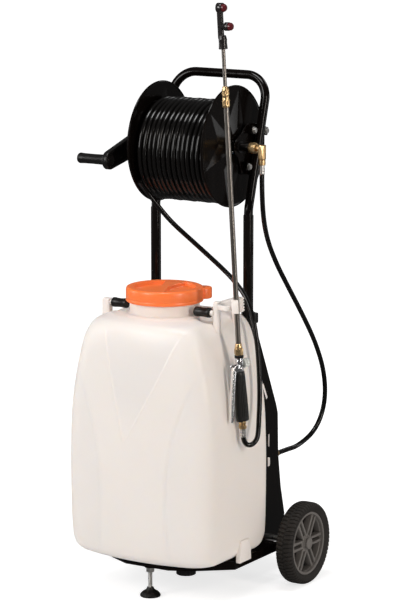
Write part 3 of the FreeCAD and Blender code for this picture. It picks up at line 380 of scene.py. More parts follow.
def side_ring(x, r, angles, centre):
    """A row of points round a line along X; x and r may change from point to point."""
    flat = np.ones(len(angles))
    return np.column_stack([x * flat, centre.y + r * np.cos(angles), centre.z + r * np.sin(angles)])


def softened(profile, radius):
    """The profile with every corner but its two ends rounded."""
    points = [Vector((*p, 0)) for p in profile]
    out = [points[0]]
    for before, here, after in zip(points[:-2], points[1:-1], points[2:]):
        reach = min(radius, 0.45 * (here - before).length, 0.45 * (after - here).length)
        a = here + (before - here).normalized() * reach
        b = here + (after - here).normalized() * reach
        for t in (0, 1 / 3, 2 / 3, 1):
            out.append(a * (1 - t) ** 2 + here * (2 * t * (1 - t)) + b * t ** 2)
    out.append(points[-1])
    return [(p.x, p.y) for p in out]


def lathe_mesh(profile, place, steps=48):
    """Points and faces of a solid of revolution about the local Z of place; profile is (radius, height)."""
    verts = []
    for r, h in profile:
        for j in range(steps):
            angle = 2 * math.pi * j / steps
            verts.append(place @ Vector((max(r, 0) * math.cos(angle), max(r, 0) * math.sin(angle), h)))
    return verts, grid_faces(len(profile), steps)


def lathe(name, profile, place, material, body, replaces=(), soft=0.0006):
    """A turned piece. A profile that doesn't start and end on the axis closes on itself."""
    add_piece(name, *lathe_part(profile, place, soft), material, body, replaces)


def slab(name, outline, low, high, place, material, body, soft=0.001, segments=3):
    """A plate: a local XY outline raised from low to high, with rounded edges."""
    add_piece(name, *slab_mesh(outline, low, high, place, soft, segments), material, body, crease=35.0)


def arc_outline(centre, radius, start, stop, steps):
    """Points of an arc, angles in degrees."""
    return [(centre[0] + radius * math.cos(math.radians(start + (stop - start) * i / steps)),
             centre[1] + radius * math.sin(math.radians(start + (stop - start) * i / steps)))
            for i in range(steps + 1)]


def hexagon_outline(across_flats):
    return arc_outline((0, 0), across_flats / math.sqrt(3), 0, 300, 5)


def along(origin, z_axis, x_axis=None):
    """A local frame with its Z along an axis."""
    z_axis = Vector(z_axis).normalized()
    if x_axis is None:
        x_axis = Y_AXIS if abs(z_axis.y) < 0.9 else Z_AXIS
    x_axis = (Vector(x_axis) - z_axis * z_axis.dot(Vector(x_axis))).normalized()
    return frame_at(Vector(origin), x_axis, z_axis)


def smooth_step(t):
    t = np.clip(t, 0, 1)
    return t * t * (3 - 2 * t)


# ---------------------------------------------------------------- tank

def monotone(x, xs, ys):
    """Smooth interpolation through given points that never overshoots them."""
    xs, ys = np.array(xs, float), np.array(ys, float)
    step = np.diff(xs)
    slope = np.diff(ys) / step
    tangent = np.zeros(len(xs))
    tangent[0], tangent[-1] = slope[0], slope[-1]
    for i in range(1, len(xs) - 1):
        if slope[i - 1] * slope[i] > 0:
            a = 2 * step[i] + step[i - 1]
            b = step[i] + 2 * step[i - 1]
            tangent[i] = (a + b) / (a / slope[i - 1] + b / slope[i])
    x = np.clip(x, xs[0], xs[-1])
    i = np.clip(np.searchsorted(xs, x) - 1, 0, len(step) - 1)
    t = (x - xs[i]) / step[i]
    return (ys[i] * (1 + 2 * t) * (1 - t) ** 2 + ys[i + 1] * t * t * (3 - 2 * t)
            + step[i] * (tangent[i] * t * (1 - t) ** 2 - tangent[i + 1] * t * t * (1 - t)))


TANK_FRONT = -0.2335
TANK_BACK = 0.060
TANK_BULGE = 0.014
TANK_FLOOR = 0.098
TANK_TOP = 0.688
FRONT_CORNER = 0.050
BACK_CORNER = 0.032
WALL = 0.004
FRONT_COLUMNS = 120                         # mesh columns from the front's middle to its corner
CORNER_COLUMNS, SIDE_COLUMNS, BACK_CORNER_COLUMNS, BACK_COLUMNS = 26, 26, 14, 16
WALL_ROWS = 260                             # mesh rows up the outside
SHOULDER_ROWS = 26
# height, half width, how far the front and the back stand in from their planes
TANK_SECTIONS = mm([(98, 170, 30, 30), (106, 188, 16, 14), (120, 198, 7, 5), (145, 203, 3, 0),
                    (200, 205, 0.8, 0), (319, 206, 0, 0), (420, 203.5, 0, 0), (500, 196, 0, 0),
                    (560, 184.5, 0, 0), (610, 172, 0.5, 0), (640, 163, 3, 1), (662, 152, 9, 5),
                    (678, 138, 21, 15), (688, 116, 42, 36)])
NECK = Vector((CAP_AXIS.x, CAP_AXIS.y, 0))
NECK_R = 0.084
NECK_BORE = 0.079
NECK_FILLET = 0.005
THREAD_PITCH = 0.0062
THREAD_DEPTH = 0.0019
# The neck's lip and the ledge for the strainer, from the outside over and down the bore: radius, height
NECK_MOUTH = mm([(84, 735.5), (83.2, 737.1), (82, 737.5), (80.5, 737.5), (79.3, 737), (79, 735.5),
                 (79, 731.6), (76.8, 731.4), (76.6, 726.6), (79, 726.4), (79, 688)])
FLOOR_MIDDLE = np.array((0, -0.09, 0))
DRAIN_AT = (0.082, -0.131, 0)
SPIGOT_AT = (0.060, 0.059, 0.150)
HAND_RECESS = (-0.110, 0.702, 0.028)        # Y, Z and radius of the hollow under each lifting grip
HAND_RECESS_X = (0.093, 0.141)
# The front's raised middle panel: height, half width
PANEL_EDGE = mm([(98, 100), (123, 96), (218, 91.5), (313, 93), (364, 100), (417, 112), (469, 128),
                 (522, 150), (578, 176), (620, 196), (688, 230)])
PANEL_STEP, PANEL_STEP_WIDTH = 0.0006, 0.0045
PANEL_SEAM, PANEL_SEAM_WIDTH = 0.0010, 0.0042   # the soft groove along the panel's edge
BAND_WIDTH = 0.110                          # over which the side bands come forward again
# The shield pressed in the panel's upper half, its two edges from the tip up: height, X
SHIELD_RIGHT = mm([(389, -21), (457, 18), (542, 67.5), (650, 120), (684, 134)])
SHIELD_LEFT = mm([(389, -21), (457, -37), (542, -56), (625, -73), (684, -85)])
SHIELD_CREASE, SHIELD_CREASE_WIDTH = 0.0010, 0.0026     # its raised edge
SHIELD_DEPTH = 0.0009


def half_outline(half, front, back, inset):
    """Half of one level outline, from the front's middle round the right side to the back's middle."""
    rf, rb = FRONT_CORNER - inset, BACK_CORNER - inset
    x, y0, y1 = half - inset, front + inset, back - inset
    flat = x - rf
    points = []
    for i in range(FRONT_COLUMNS):
        u = flat * i / FRONT_COLUMNS
        points.append((u, y0 - TANK_BULGE * (1 - (u / flat) ** 2)))
    slope = 2 * TANK_BULGE / flat
    a, d = Vector((flat, y0)), Vector((x, y0 + rf))
    b = a + Vector((1, slope)).normalized() * rf * 0.52
    c = d - Vector((0, rf * 0.56))
    for i in range(CORNER_COLUMNS):
        t = i / CORNER_COLUMNS
        p = a * (1 - t) ** 3 + b * (3 * t * (1 - t) ** 2) + c * (3 * t * t * (1 - t)) + d * t ** 3
        points.append((p.x, p.y))
    for i in range(SIDE_COLUMNS):
        points.append((x, y0 + rf + (y1 - rb - y0 - rf) * i / SIDE_COLUMNS))
    for i in range(BACK_CORNER_COLUMNS):
        angle = math.pi / 2 * i / BACK_CORNER_COLUMNS
        points.append((x - rb + rb * math.cos(angle), y1 - rb + rb * math.sin(angle)))
    for i in range(BACK_COLUMNS + 1):
        points.append(((x - rb) * (1 - i / BACK_COLUMNS), y1))
    return np.array(points)


def full_outline(half, front, back, inset):
    right = half_outline(half, front, back, inset)
    left = right[-2:0:-1] * np.array([-1, 1])
    return np.vstack([right, left])


def tank_level(z, inset):
    """The outline at a height, as X and Y of each column."""
    heights = [s[0] for s in TANK_SECTIONS]
    half, front_in, back_in = (monotone(z, heights, [s[k] for s in TANK_SECTIONS]) for k in (1, 2, 3))
    return full_outline(float(half), TANK_FRONT + float(front_in), TANK_BACK - float(back_in), inset)


def front_relief(x, z):
    """How far the front stands back: the side bands beside the middle panel, and the shield's grooves."""
    edge = monotone(z, *zip(*PANEL_EDGE))
    beyond = np.abs(x) - edge
    fade = smooth_step((z - 0.105) / 0.05)
    low = smooth_step((0.66 - z) / 0.05)
    shelf = PANEL_STEP * smooth_step((beyond + 0.001) / PANEL_STEP_WIDTH)
    back_up = smooth_step((beyond - 0.006) / BAND_WIDTH)
    seam = PANEL_SEAM * np.exp(-(beyond / PANEL_SEAM_WIDTH) ** 2)
    depth = (shelf * (1 - back_up) + seam) * (0.45 + 0.55 * fade) * (0.25 + 0.75 * low)
    right = x - monotone(z, *zip(*SHIELD_RIGHT))
    left = monotone(z, *zip(*SHIELD_LEFT)) - x
    outside = np.maximum(right, left)
    crease = np.exp(-(outside / SHIELD_CREASE_WIDTH) ** 2) * smooth_step((z - 0.386) / 0.02)
    inside = smooth_step(0.5 - outside / 0.010) * smooth_step((z - 0.40) / 0.10)
    top = smooth_step((0.675 - z) / 0.03)
    depth += top * (SHIELD_CREASE + SHIELD_DEPTH * inside - SHIELD_CREASE * crease)
    return depth


def hollow_top(points):
    """Presses the hand hollows beside the neck into the shoulder."""
    y0, z0, r = HAND_RECESS
    reach = np.abs(points[:, 1] - y0)
    under = z0 - np.sqrt(np.maximum(r * r - reach ** 2, 0))
    x = np.abs(points[:, 0])
    within = smooth_step((x - HAND_RECESS_X[0]) / 0.006) * smooth_step((HAND_RECESS_X[1] - x) / 0.008)
    within = within * (reach < r)
    lower = np.minimum(points[:, 2], under)
    points[:, 2] += (lower - points[:, 2]) * within


def tank_rows(inset, floor, top, rows, relief):
    """Rows of the side wall from the floor up to the edge of the flat top."""
    out = []
    for i in range(rows):
        share = i / (rows - 1)
        z = floor + (top - floor) * (share - 0.055 * math.sin(2 * math.pi * share))
        outline = tank_level(min(max(z, TANK_FLOOR), TANK_TOP), inset)
        row = np.column_stack([outline, np.full(len(outline), z)])
        if relief:
            front = smooth_step((-0.150 - row[:, 1]) / 0.03)
            row[:, 1] += front_relief(row[:, 0], np.full(len(row), z)) * front
        out.append(row)
    return out


def toward(row, target, share, z):
    mixed = row * (1 - share) + target * share
    mixed[:, 2] = z
    return mixed


def neck_circle(row, radius, z):
    """The columns of a row, moved onto a circle about the neck's axis."""
    return ring(radius, z, np.arctan2(row[:, 1] - NECK.y, row[:, 0] - NECK.x), NECK)


def make_tank():
    """The hollow tank in one skin: its floor, wall, shoulder, threaded neck and mouth, then the inside."""
    outer = tank_rows(0, TANK_FLOOR, TANK_TOP, WALL_ROWS, True)
    bottom = [toward(outer[0], FLOOR_MIDDLE, share, TANK_FLOOR) for share in (0.995, 0.7, 0.4, 0.15, 0.04)]
    edge = outer[-1]
    base = neck_circle(edge, NECK_R + NECK_FILLET, TANK_TOP)
    shoulder = [toward(edge, base, (i + 1) / SHOULDER_ROWS, TANK_TOP) for i in range(SHOULDER_ROWS)]
    flare = [neck_circle(edge, NECK_R + NECK_FILLET * (1 - math.sin(a)),
                         TANK_TOP + NECK_FILLET * (1 - math.cos(a))) for a in (0.4, 0.8, 1.2, math.pi / 2)]
    thread = []
    for z in np.arange(0.697, 0.7335, 0.0011):
        ridge = max(0.0, math.cos((z - 0.7200) / THREAD_PITCH * 2 * math.pi)) if z > 0.7155 else 0.0
        thread.append(neck_circle(edge, NECK_R + THREAD_DEPTH * ridge, float(z)))
    mouth = [neck_circle(edge, r, z) for r, z in NECK_MOUTH]
    ceiling_z = TANK_TOP - WALL
    inner = tank_rows(WALL, TANK_FLOOR + WALL, ceiling_z, 60, False)[::-1]
    inner_base = neck_circle(edge, NECK_BORE, ceiling_z)
    ceiling = [toward(inner_base, inner[0], share, ceiling_z) for share in (0.0, 0.2, 0.4, 0.6, 0.8)]
    floor = [toward(inner[-1], FLOOR_MIDDLE, share, TANK_FLOOR + WALL) for share in (0.3, 0.7, 0.96, 0.995)]
    for row in outer[-WALL_ROWS // 4:] + shoulder:
        hollow_top(row)
    for row in inner[:12] + ceiling:
        shifted = row + np.array([0, 0, WALL])
        hollow_top(shifted)
        row[:, 2] = np.minimum(row[:, 2], shifted[:, 2] - WALL)
    rows = bottom[::-1] + outer + shoulder + flare + thread + mouth + ceiling + inner + floor
    ends = (FLOOR_MIDDLE + (0, 0, z) for z in (TANK_FLOOR, TANK_FLOOR + WALL))
    verts, faces = pointed_grid(rows, *ends)
    add_piece("tank_shell", verts, faces, TANK, "cart", ["tank"], crease=50)
    drain_neck = mm([(16, 67), (20, 67), (20, 99), (16, 99)])
    lathe("tank_drain_neck", drain_neck, along(DRAIN_AT, Z_AXIS), TANK, "cart")
    spigot = mm([(7, 0), (11, 0), (11, 9), (9.5, 10), (11, 11), (11, 13), (7, 13)])
    lathe("tank_suction_spigot", spigot, along(SPIGOT_AT, Y_AXIS), TANK, "cart", soft=0)


# ---------------------------------------------------------------- filler cap

CAP_PLATE = 0.7512                          # top of the sunken disc inside the rim
CAP_CEILING = 0.741
# From the inside down round the skirt and over the rim: radius, height
CAP_PROFILE = mm([(0.5, 741), (84, 741), (86.6, 739.5), (87, 737), (87, 718.5), (87.4, 717.2), (88.5, 717),
                  (91.2, 717), (92.5, 717.7), (93, 719.5), (93, 724.5), (92.6, 725.2), (93, 726), (93, 744.5),
                  (92.4, 748.2), (91, 750.5), (88.5, 751.6), (85.5, 752), (82.5, 752), (80.5, 751.4)])
CAP_TWIST = math.radians(12)
CAP_LUG_TURN = math.radians(42)
CAP_LUG_R = 0.115
CAP_LUG_HALF = 0.021


def cap_hollow(x, y):
    """Depth of the two kidney hollows beside the grip bar."""
    u = x * math.cos(CAP_TWIST) + y * math.sin(CAP_TWIST)
    v = -x * math.sin(CAP_TWIST) + y * math.cos(CAP_TWIST)
    bar = 0.009 + 0.017 * np.abs(v) / 0.080
    clear = np.minimum(0.0755 - np.hypot(x, y), np.abs(u) - bar)
    return 0.0085 * smooth_step(clear / 0.0045)


def make_cap():
    angles = round_angles(256)
    rows = [ring(r, z, angles, NECK) for r, z in CAP_PROFILE]
    for r in np.arange(0.0795, 0.0005, -0.0014):
        rows.append(ring(r, CAP_PLATE - cap_hollow(r * np.cos(angles), r * np.sin(angles)), angles, NECK))
    verts, faces = pointed_grid(rows, (NECK.x, NECK.y, CAP_CEILING), (NECK.x, NECK.y, CAP_PLATE))
    add_piece("cap_shell", verts, faces, ORANGE, "cap", ["filler_cap"], crease=50)
    nose = arc_outline((CAP_LUG_R - CAP_LUG_HALF, 0), CAP_LUG_HALF, -90, 90, 14)
    outline = [(0.086, -CAP_LUG_HALF), *nose, (0.086, CAP_LUG_HALF)]
    place = along((NECK.x, NECK.y, 0), Z_AXIS, (math.cos(CAP_LUG_TURN), math.sin(CAP_LUG_TURN), 0))
    slab("cap_lug", outline, 0.7195, 0.747, place, ORANGE, "cap", soft=0.0035, segments=4)


# ---------------------------------------------------------------- reel

FLANGE_R = 0.147
FLANGE_T = 0.0025
FLANGE_ROLL = 0.003                         # radius of the rolled rim
RIBS = 6
RIB_ROOT, RIB_TIP = 0.032, 0.140            # radii between which each rib falls away
RIB_HEIGHT = 0.0062
RIB_HALF_WIDTH = 0.050
HUB_BOLTS_R = 0.0182


def flange_height(r, angle, turn):
    """Height of the pressed star ribs, which fall from the hub to nothing near the rim."""
    fall = (RIB_TIP - r) / (RIB_TIP - RIB_ROOT)
    pitch = 2 * math.pi / RIBS
    off = np.abs((angle - turn + pitch / 2) % pitch - pitch / 2)
    across = r * np.sin(np.minimum(off, math.pi / 2))
    half_width = RIB_HALF_WIDTH * np.clip(fall, 0.0001, 1)
    return RIB_HEIGHT * np.clip(fall, 0, 1) * np.clip(1 - across / half_width, 0, 1)


def make_flange(name, inner_x, outward, turn, body, node):
    """A pressed steel disc with star ribs and a rolled rim."""
    angles = round_angles(360)
    front, back = [], []
    for r in (*np.linspace(0.009, 0.030, 6), *np.linspace(0.032, 0.1405, 56)):
        lift = flange_height(r, angles, turn)
        front.append(side_ring(inner_x + outward * (FLANGE_T + lift), r, angles, REEL))
        back.append(side_ring(inner_x + outward * 0.72 * lift, r, angles, REEL))
    rim = []
    for i in range(13):
        a = math.radians(150 - 300 * i / 12)
        x = inner_x + outward * (FLANGE_T / 2 + FLANGE_ROLL * math.sin(a))
        rim.append(side_ring(x, FLANGE_R - FLANGE_ROLL + FLANGE_ROLL * math.cos(a), angles, REEL))
    rows = front + rim + back[::-1]
    faces = grid_faces(len(rows), len(angles), looped=True)
    add_piece(name, np.vstack(rows), faces, REEL_PAINT, body, [node], crease=14)
    hub = mm([(8, 2), (27, 2), (26, 8.5), (22.5, 8.5), (21.5, 7), (14, 7), (13.5, 8.5), (8, 8.5)])
    hub_place = along((inner_x, REEL.y, REEL.z), X_AXIS * outward)
    lathe(name + "_hub", hub, hub_place, REEL_PAINT, body, soft=0.0007)
    for i in range(4):
        a = math.radians(45 + 90 * i)
        at = REEL + HUB_BOLTS_R * Vector((0, math.cos(a), math.sin(a)))
        at.x = inner_x + outward * 0.0066
        slab(f"{name}_bolt_{i}", hexagon_outline(0.0065), 0, 0.0019, along(at, X_AXIS * outward), ZINC, body,
             soft=0.0005)


# ---------------------------------------------------------------- mesh parts that several pieces share

def merged(parts):
    """Several (points, faces) parts as one."""
    verts, faces = [], []
    for part_verts, part_faces in parts:
        base = len(verts)
        verts.extend(tuple(v) for v in part_verts)
        faces.extend([base + i for i in face] for face in part_faces)
    return verts, faces


def add_parts(name, parts, material, body, replaces=(), crease=35.0, slot=None):
    add_piece(name, *merged(parts), material, body, replaces, crease, slot)


def round_grid(profile, place, columns, radius_at):
    """A closed form about local Z. Each profile row is (radius, height); radius_at(angles, r, h) changes it."""
    angles = round_angles(columns)
    verts = []
    for r, h in profile:
        verts += [place @ Vector(point) for point in ring(radius_at(angles, r, h), h, angles)]
    return verts, grid_faces(len(profile), columns, looped=profile[0][0] > 1e-6)


def hex_nut(place, across_flats, low, high, bore=0.0, chamfer=0.0012):
    """A hexagonal nut with coned corners; a bore of zero gives a bolt's head."""
    flat = across_flats / 2

    def reach(angles, r, _):
        six = flat / np.cos((angles + math.pi / 6) % (math.pi / 3) - math.pi / 6)
        return np.minimum(six, r)

    side = [(bore, 0.0), (flat * 0.96, 0.0), (flat * 1.02, chamfer * 0.5), (flat * 1.16, chamfer * 1.6)]
    profile = [(r, low + rise) for r, rise in side] + [(r, high - rise) for r, rise in reversed(side)]
    return round_grid(profile, place, 96, reach)


def ridged(profile, place, ridges, depth, low, high, columns=None):
    """A turned form with ridges round it between two heights."""
    def reach(angles, r, h):
        if not low <= h <= high or r < 1e-6:
            return np.full(len(angles), r)
        return r - depth * (0.5 + 0.5 * np.cos(angles * ridges)) ** 2
    return round_grid(profile, place, columns or ridges * 8, reach)


def lathe_part(profile, place, soft=0.0006, steps=48):
    smooth = softened(profile, soft) if soft else list(profile)
    if smooth[0][0] > 1e-9:
        smooth.append(smooth[0])
    return lathe_mesh(smooth, place, steps)


def slab_mesh(outline, low, high, place, soft=0.001, segments=3):
    """Points and faces of a local XY outline raised from low to high, with rounded edges."""
    shape = bmesh.new()
    ring = [shape.verts.new((x, y, low)) for x, y in outline]
    base = shape.faces.new(ring)
    raised = bmesh.ops.extrude_face_region(shape, geom=[base])
    top = [g for g in raised["geom"] if isinstance(g, bmesh.types.BMVert)]
    bmesh.ops.translate(shape, verts=top, vec=(0, 0, high - low))
    bmesh.ops.recalc_face_normals(shape, faces=shape.faces)
    if soft:
        edges = [e for e in shape.edges if len(e.link_faces) == 2 and e.calc_face_angle(0) > math.radians(35)]
        bmesh.ops.bevel(shape, geom=edges, offset=soft, segments=segments, profile=0.5, affect="EDGES",
                        clamp_overlap=True)
    shape.verts.index_update()
    verts = [place @ v.co for v in shape.verts]
    faces = [[v.index for v in f.verts] for f in shape.faces]
    shape.free()
    return verts, faces


def rectangle(x_low, x_high, y_low, y_high):
    return [(x_low, y_low), (x_high, y_low), (x_high, y_high), (x_low, y_high)]


# Frames at the origin: one as the cart's own, and one whose X, Y and Z are the cart's Y, Z and X
UPWARD = frame_at(Vector(), X_AXIS, Z_AXIS)
SIDEWAYS = frame_at(Vector(), Y_AXIS, X_AXIS)


# ---------------------------------------------------------------- rails, grips and lance clip

RAIL_X = 0.152


def make_rail():
    """The rail on the right shoulder with its two posts, and the lug on the left one."""
    backward = frame_at(Vector((RAIL_X, 0, 0.7175)), X_AXIS, Y_AXIS)
    bar = slab_mesh(rectangle(-0.0085, 0.0085, -0.0095, 0.0095), -0.1125, -0.0085, backward, 0.0045, 4)
    posts = []
    for y, top in ((-0.104, 729.8), (-0.017, 719.8)):
        post = mm([(0, 642), (8.8, 642), (8.8, top), (0, top)])
        posts.append(lathe_part(post, along((RAIL_X, y, 0), Z_AXIS), 0.003))
    lug = slab_mesh(rectangle(-0.166, -0.1432, -0.119, -0.101), 0.648, 0.711, UPWARD, 0.0045, 4)
    add_parts("shoulder_rail_and_lug", [bar, *posts, lug], WHITE, "cart", ["top_rails"], 50)


def make_lifting_grips():
    y, z = HAND_RECESS[:2]
    waist = mm([(0, 95), (9.5, 95), (11.8, 97.5), (12, 103), (11.2, 110), (10.8, 117), (11.2, 124),
                (12, 131), (11.8, 136.5), (9.5, 139), (0, 139)])
    pin = mm([(0, 138.5), (6.6, 138.5), (6.6, 146), (0, 146)])
    grips, pins = ([lathe_part(profile, along((0, y, z), X_AXIS * side), soft) for side in (1, -1)]
                   for profile, soft in ((waist, 0.0008), (pin, 0.001)))
    add_parts("lifting_grip_bodies", grips, BLACK_PLASTIC, "cart", ["lifting_grips"], 40)
    add_parts("lifting_grip_pins", pins, WHITE, "cart", [], 40)


def make_lance_clip():
    """Snap jaws, a toothed comb behind them, and the arm from the rail."""
    jaw = arc_outline((0, 0), 0.0119, 34, 326, 40) + arc_outline((0, 0), 0.0066, 326, 34, 40)
    jaws = slab_mesh(jaw, 0.302, 0.334, HEAD, 0.0006, 2)
    comb = [(-13.5, 302), (8.5, 302)]
    for i in range(5):
        comb += [(8.5, 302.4 + 7 * i), (12.5, 306 + 7 * i)]
    comb += [(8.5, 337.5), (-1, 337.5), (-3, 341.5), (-5, 337.5), (-8, 337.5), (-10, 341.5), (-13.5, 337.5)]
    teeth = slab_mesh(mm(comb), -0.0170, -0.0095, HEAD @ Matrix.Rotation(math.pi / 2, 4, "X"), 0.0005, 2)
    arm_outline = mm([(160.5, -114.5), (160.5, -108.5), (186, -108), (196.5, -108), (194.5, -118),
                      (184.5, -123.5), (176, -122.5)])
    arm = slab_mesh(arm_outline, 0.7125, 0.7240, UPWARD, 0.0016, 3)
    add_parts("lance_clip_jaws", [jaws, teeth, arm], WHITE, "cart", ["lance_clip"], 35)


# ---------------------------------------------------------------- crank

LINK_STEPS = 26


def link_outline(inset):
    """The crank arm's outline, round about the shaft and about the grip's pin, as (Y, Z) points."""
    first, first_r = Vector((REEL.y, REEL.z)), 0.029 - inset
    second, second_r = Vector((CRANK.y, CRANK.z)), 0.0225 - inset
    reach = second - first
    heading = math.degrees(math.atan2(reach.y, reach.x))
    tilt = math.degrees(math.acos((first_r - second_r) / reach.length))
    return (arc_outline(second, second_r, heading - tilt, heading + tilt, LINK_STEPS)
            + arc_outline(first, first_r, heading + tilt, heading + 360 - tilt, LINK_STEPS * 2))


def make_swivel():
    """The union nut on the shaft's end, and the brass elbow that turns the water down into the feed hose."""
    across = along((0, REEL.y, REEL.z), X_AXIS)
    add_parts("swivel_union_nut", [hex_nut(across, 0.023, 0.1474, 0.1664, 0.00805, 0.0016)], BRASS, "cart",
              ["swivel_nut"], 30)
    down = along((0.181, REEL.y, 0), Z_AXIS)
    parts = [lathe_part(mm([(0, 167), (7.4, 167), (7.4, 170.5), (8.5, 171.5), (8.5, 181.5), (0, 181.5)]),
                        across, 0.0006),
             hex_nut(down, 0.019, 1.0520, 1.0862, 0.0, 0.0018),
             lathe_part(mm([(0, 1038), (7.8, 1038), (8.6, 1038.8), (8.6, 1050), (7.6, 1051), (7.6, 1053),
                            (0, 1053)]), down, 0.0004)]
    add_parts("swivel_elbow_body", parts, BRASS, "cart", ["swivel_elbow"], 30)


def make_collars():
    """Clamps round the uprights above the rear housing, with rounded ears behind."""
    parts = []
    for side in (-1, 1):
        post = frame_at(Vector((0.132 * side, 0.074, 0)), X_AXIS, Z_AXIS)
        band = arc_outline((0, 0), 0.0168, -52, 232, 44) + arc_outline((0, 0), 0.01265, 232, -52, 44)
        parts.append(slab_mesh(band, 0.6362, 0.6738, post, 0.0007, 2))
        ear = rectangle(-0.0095, 0.0085, 0.0135, 0.0370)
        parts.append(slab_mesh(ear, 0.6420, 0.6680, post, 0.0035, 3))
    add_parts("upright_clamps", parts, BLACK_PLASTIC, "cart", ["frame_collars"], 40)


def make_crank():
    """A moulded arm with a rounded edge and a shallow step towards the reel, its bosses, pin and grip."""
    rows = mm([(6, -166), (2.2, -166), (0.7, -165.55), (0, -164.2), (0, -154.4), (0.7, -152.8), (2, -152),
               (4.2, -152), (5.4, -152.7), (6, -157.5)])
    verts = [(x, y, z) for inset, x in rows for y, z in link_outline(inset)]
    faces = closed_faces(len(rows), len(link_outline(0)))
    end = Vector((0, CRANK.y, CRANK.z))
    hub = along((0, REEL.y, REEL.z), X_AXIS)
    boss = along(end, X_AXIS)
    outward = along(end, -X_AXIS)
    rings = mm([(0, -158), (15, -158), (15, -154.2), (12.8, -153.8), (12.8, -155), (10.4, -155),
                (10.4, -153.2), (7, -152.8), (0, -152.8)])
    hub_cap = mm([(0, -158), (13.8, -158), (13.8, -152.4), (9, -152.4), (9, -154), (0, -154)])
    parts = [(verts, faces), lathe_part(rings, boss, 0.0005), lathe_part(hub_cap, hub, 0.0007),
             lathe_part(mm([(0, 165), (16, 165), (16, 167.5), (14.5, 169), (0, 169)]), outward, 0.0006),
             lathe_part(mm([(0, 168), (4.9, 168), (4.9, 239.5), (0, 239.5)]), outward, 0.001)]
    add_parts("crank_arm_link", parts, BLACK_PLASTIC, "reel", ["crank_arm"], 42, slot="black_frame")
    grip = mm([(5.2, 170.5), (11.6, 170.5), (12.7, 173), (12.4, 182), (12.1, 205), (12.3, 228), (13, 239.5),
               (13, 242), (11.2, 245.2), (7, 246), (0, 246), (0, 240.5), (5.2, 240.5)])
    lathe("crank_grip_sleeve", grip, outward, BLACK_PLASTIC, "crank_knob", ["crank_grip"], 0.001)


# ---------------------------------------------------------------- wheels

BLOCKS = 60
CUT_DEPTH = 0.0026
# Half the tyre's outside, from the bead to the tread's middle: radius, X
TYRE_HALF = mm([(78, 17), (81.5, 18.2), (85, 20), (88.5, 21.1), (90, 21.4), (90.5, 21.9), (92.5, 22),
                (94.5, 21.8), (96.2, 21.2), (97.8, 20), (99, 18.5), (100.1, 16.5), (100.8, 14.5), (101.2, 12),
                (101.4, 9.5), (101.5, 7), (101.5, 4.5), (101.5, 2.6), (101.5, 1.4), (101.5, 0.6)])


def tread_cut(angles, across):
    """How far the tread is cut at each angle, 0 to 1, at a distance across from the tyre's middle."""
    side = 0.25 if across > 0 else -0.25
    phase = (angles * BLOCKS / (2 * math.pi) + side + 12 * abs(across)) % 1.0
    gap = smooth_step((0.13 - np.abs(phase - 0.5)) / 0.08 + 0.5)
    middle = smooth_step((0.0016 - abs(across)) / 0.0008 + 0.5)
    return np.maximum(gap, middle)


def make_tyre(name, centre, node, body):
    angles = round_angles(BLOCKS * 10)
    rows = []
    for r, x in TYRE_HALF + [(r, -x) for r, x in reversed(TYRE_HALF)]:
        cut = smooth_step((r - 0.0915) / 0.004) * tread_cut(angles, x)
        shoulder = 0.001 * cut if abs(x) > 0.017 else 0
        rows.append(side_ring(centre.x + x - np.sign(x) * shoulder, r - CUT_DEPTH * cut, angles, centre))
    for x in (-0.0165, 0.0165):
        rows.append(side_ring(centre.x + x, 0.078, angles, centre))
    faces = grid_faces(len(rows), len(angles), looped=True)
    add_piece(name, np.vstack(rows), faces, TYRE, body, [node], 32)


def make_rim(name, centre, outward, node, body):
    """A moulded wheel: a stepped rim, six pairs of spokes, a stepped hub, and a web behind them coloured dark
    as painted shade in the gaps between the spokes.
    """
    place = along(centre, X_AXIS * outward)
    rim = mm([(71.2, -16.8), (76.8, -16.8), (77.8, -16), (77.8, 16), (76.8, 16.8), (72.8, 16.8),
              (71.6, 15.6), (71.6, 9), (70, 7.5), (70, -7.5), (71.2, -9)])
    parts = [lathe_part(rim, place, 0.0006, 96)]
    hub = mm([(8.05, -20.5), (14.8, -20.5), (16.6, -19), (17, -7), (21.5, -5), (22, 8.5), (20.5, 9.8),
              (16.5, 10), (15.8, 12.8), (14.8, 12.9), (8.05, 12.9)])
    parts.append(lathe_part(hub, place, 0.0005, 64))
    spoke = mm([(14.5, -3), (40, -3.1), (72.8, -3.8), (72.8, 3.8), (40, 3.1), (14.5, 3)])
    for i in range(6):
        turned = place @ Matrix.Rotation(math.radians(60 * i), 4, "Z")
        for offset in (-0.0078, 0.0078):
            spoke_place = turned @ Matrix.Translation((0, offset, 0))
            parts.append(slab_mesh(spoke, -0.0058, 0.0112, spoke_place, 0.0013, 3))
    add_parts(name, parts, RIM, body, [node], 40)
    # The web is dark rubber rather than the rim's grey, so that the gaps between the spokes show painted shade.
    shade_web = lathe_part(mm([(16.8, -15), (70.2, -15), (70.2, -13.5), (16.8, -13.5)]), place, 0.0002, 96)
    add_parts(name + "_shade_web", [shade_web], RUBBER, body, [], 40)


def make_axle_caps():
    caps = []
    for side in (-1, 1):
        place = along((0, WHEEL_RIGHT.y, WHEEL_RIGHT.z), X_AXIS * side)
        caps.append(ridged(mm([(8.05, 269.8), (13.4, 269.8), (14, 270.4), (14, 274.2), (12.8, 275.6),
                               (9, 276.4), (0.1, 276.5), (0.1, 274.2), (8.05, 274.2)]), place, 20, 0.0007,
                           0.2700, 0.2745))
    add_parts("axle_end_caps", caps, RIM, "cart", ["axle_caps"], 40)


# ---------------------------------------------------------------- gun and lance

GRIP_AT = 0.039                             # distances up the lance
VALVE_AT = 0.160
KNOB_AT = 0.177
TRIGGER_AT = 0.169
COLLET_AT = 0.789
KNURL_DEPTH = 0.00035
GRIP_END = 0.003                            # radius of the grip's rounded ends
FLUTES = 22
FLUTE_DEPTH = 0.0011
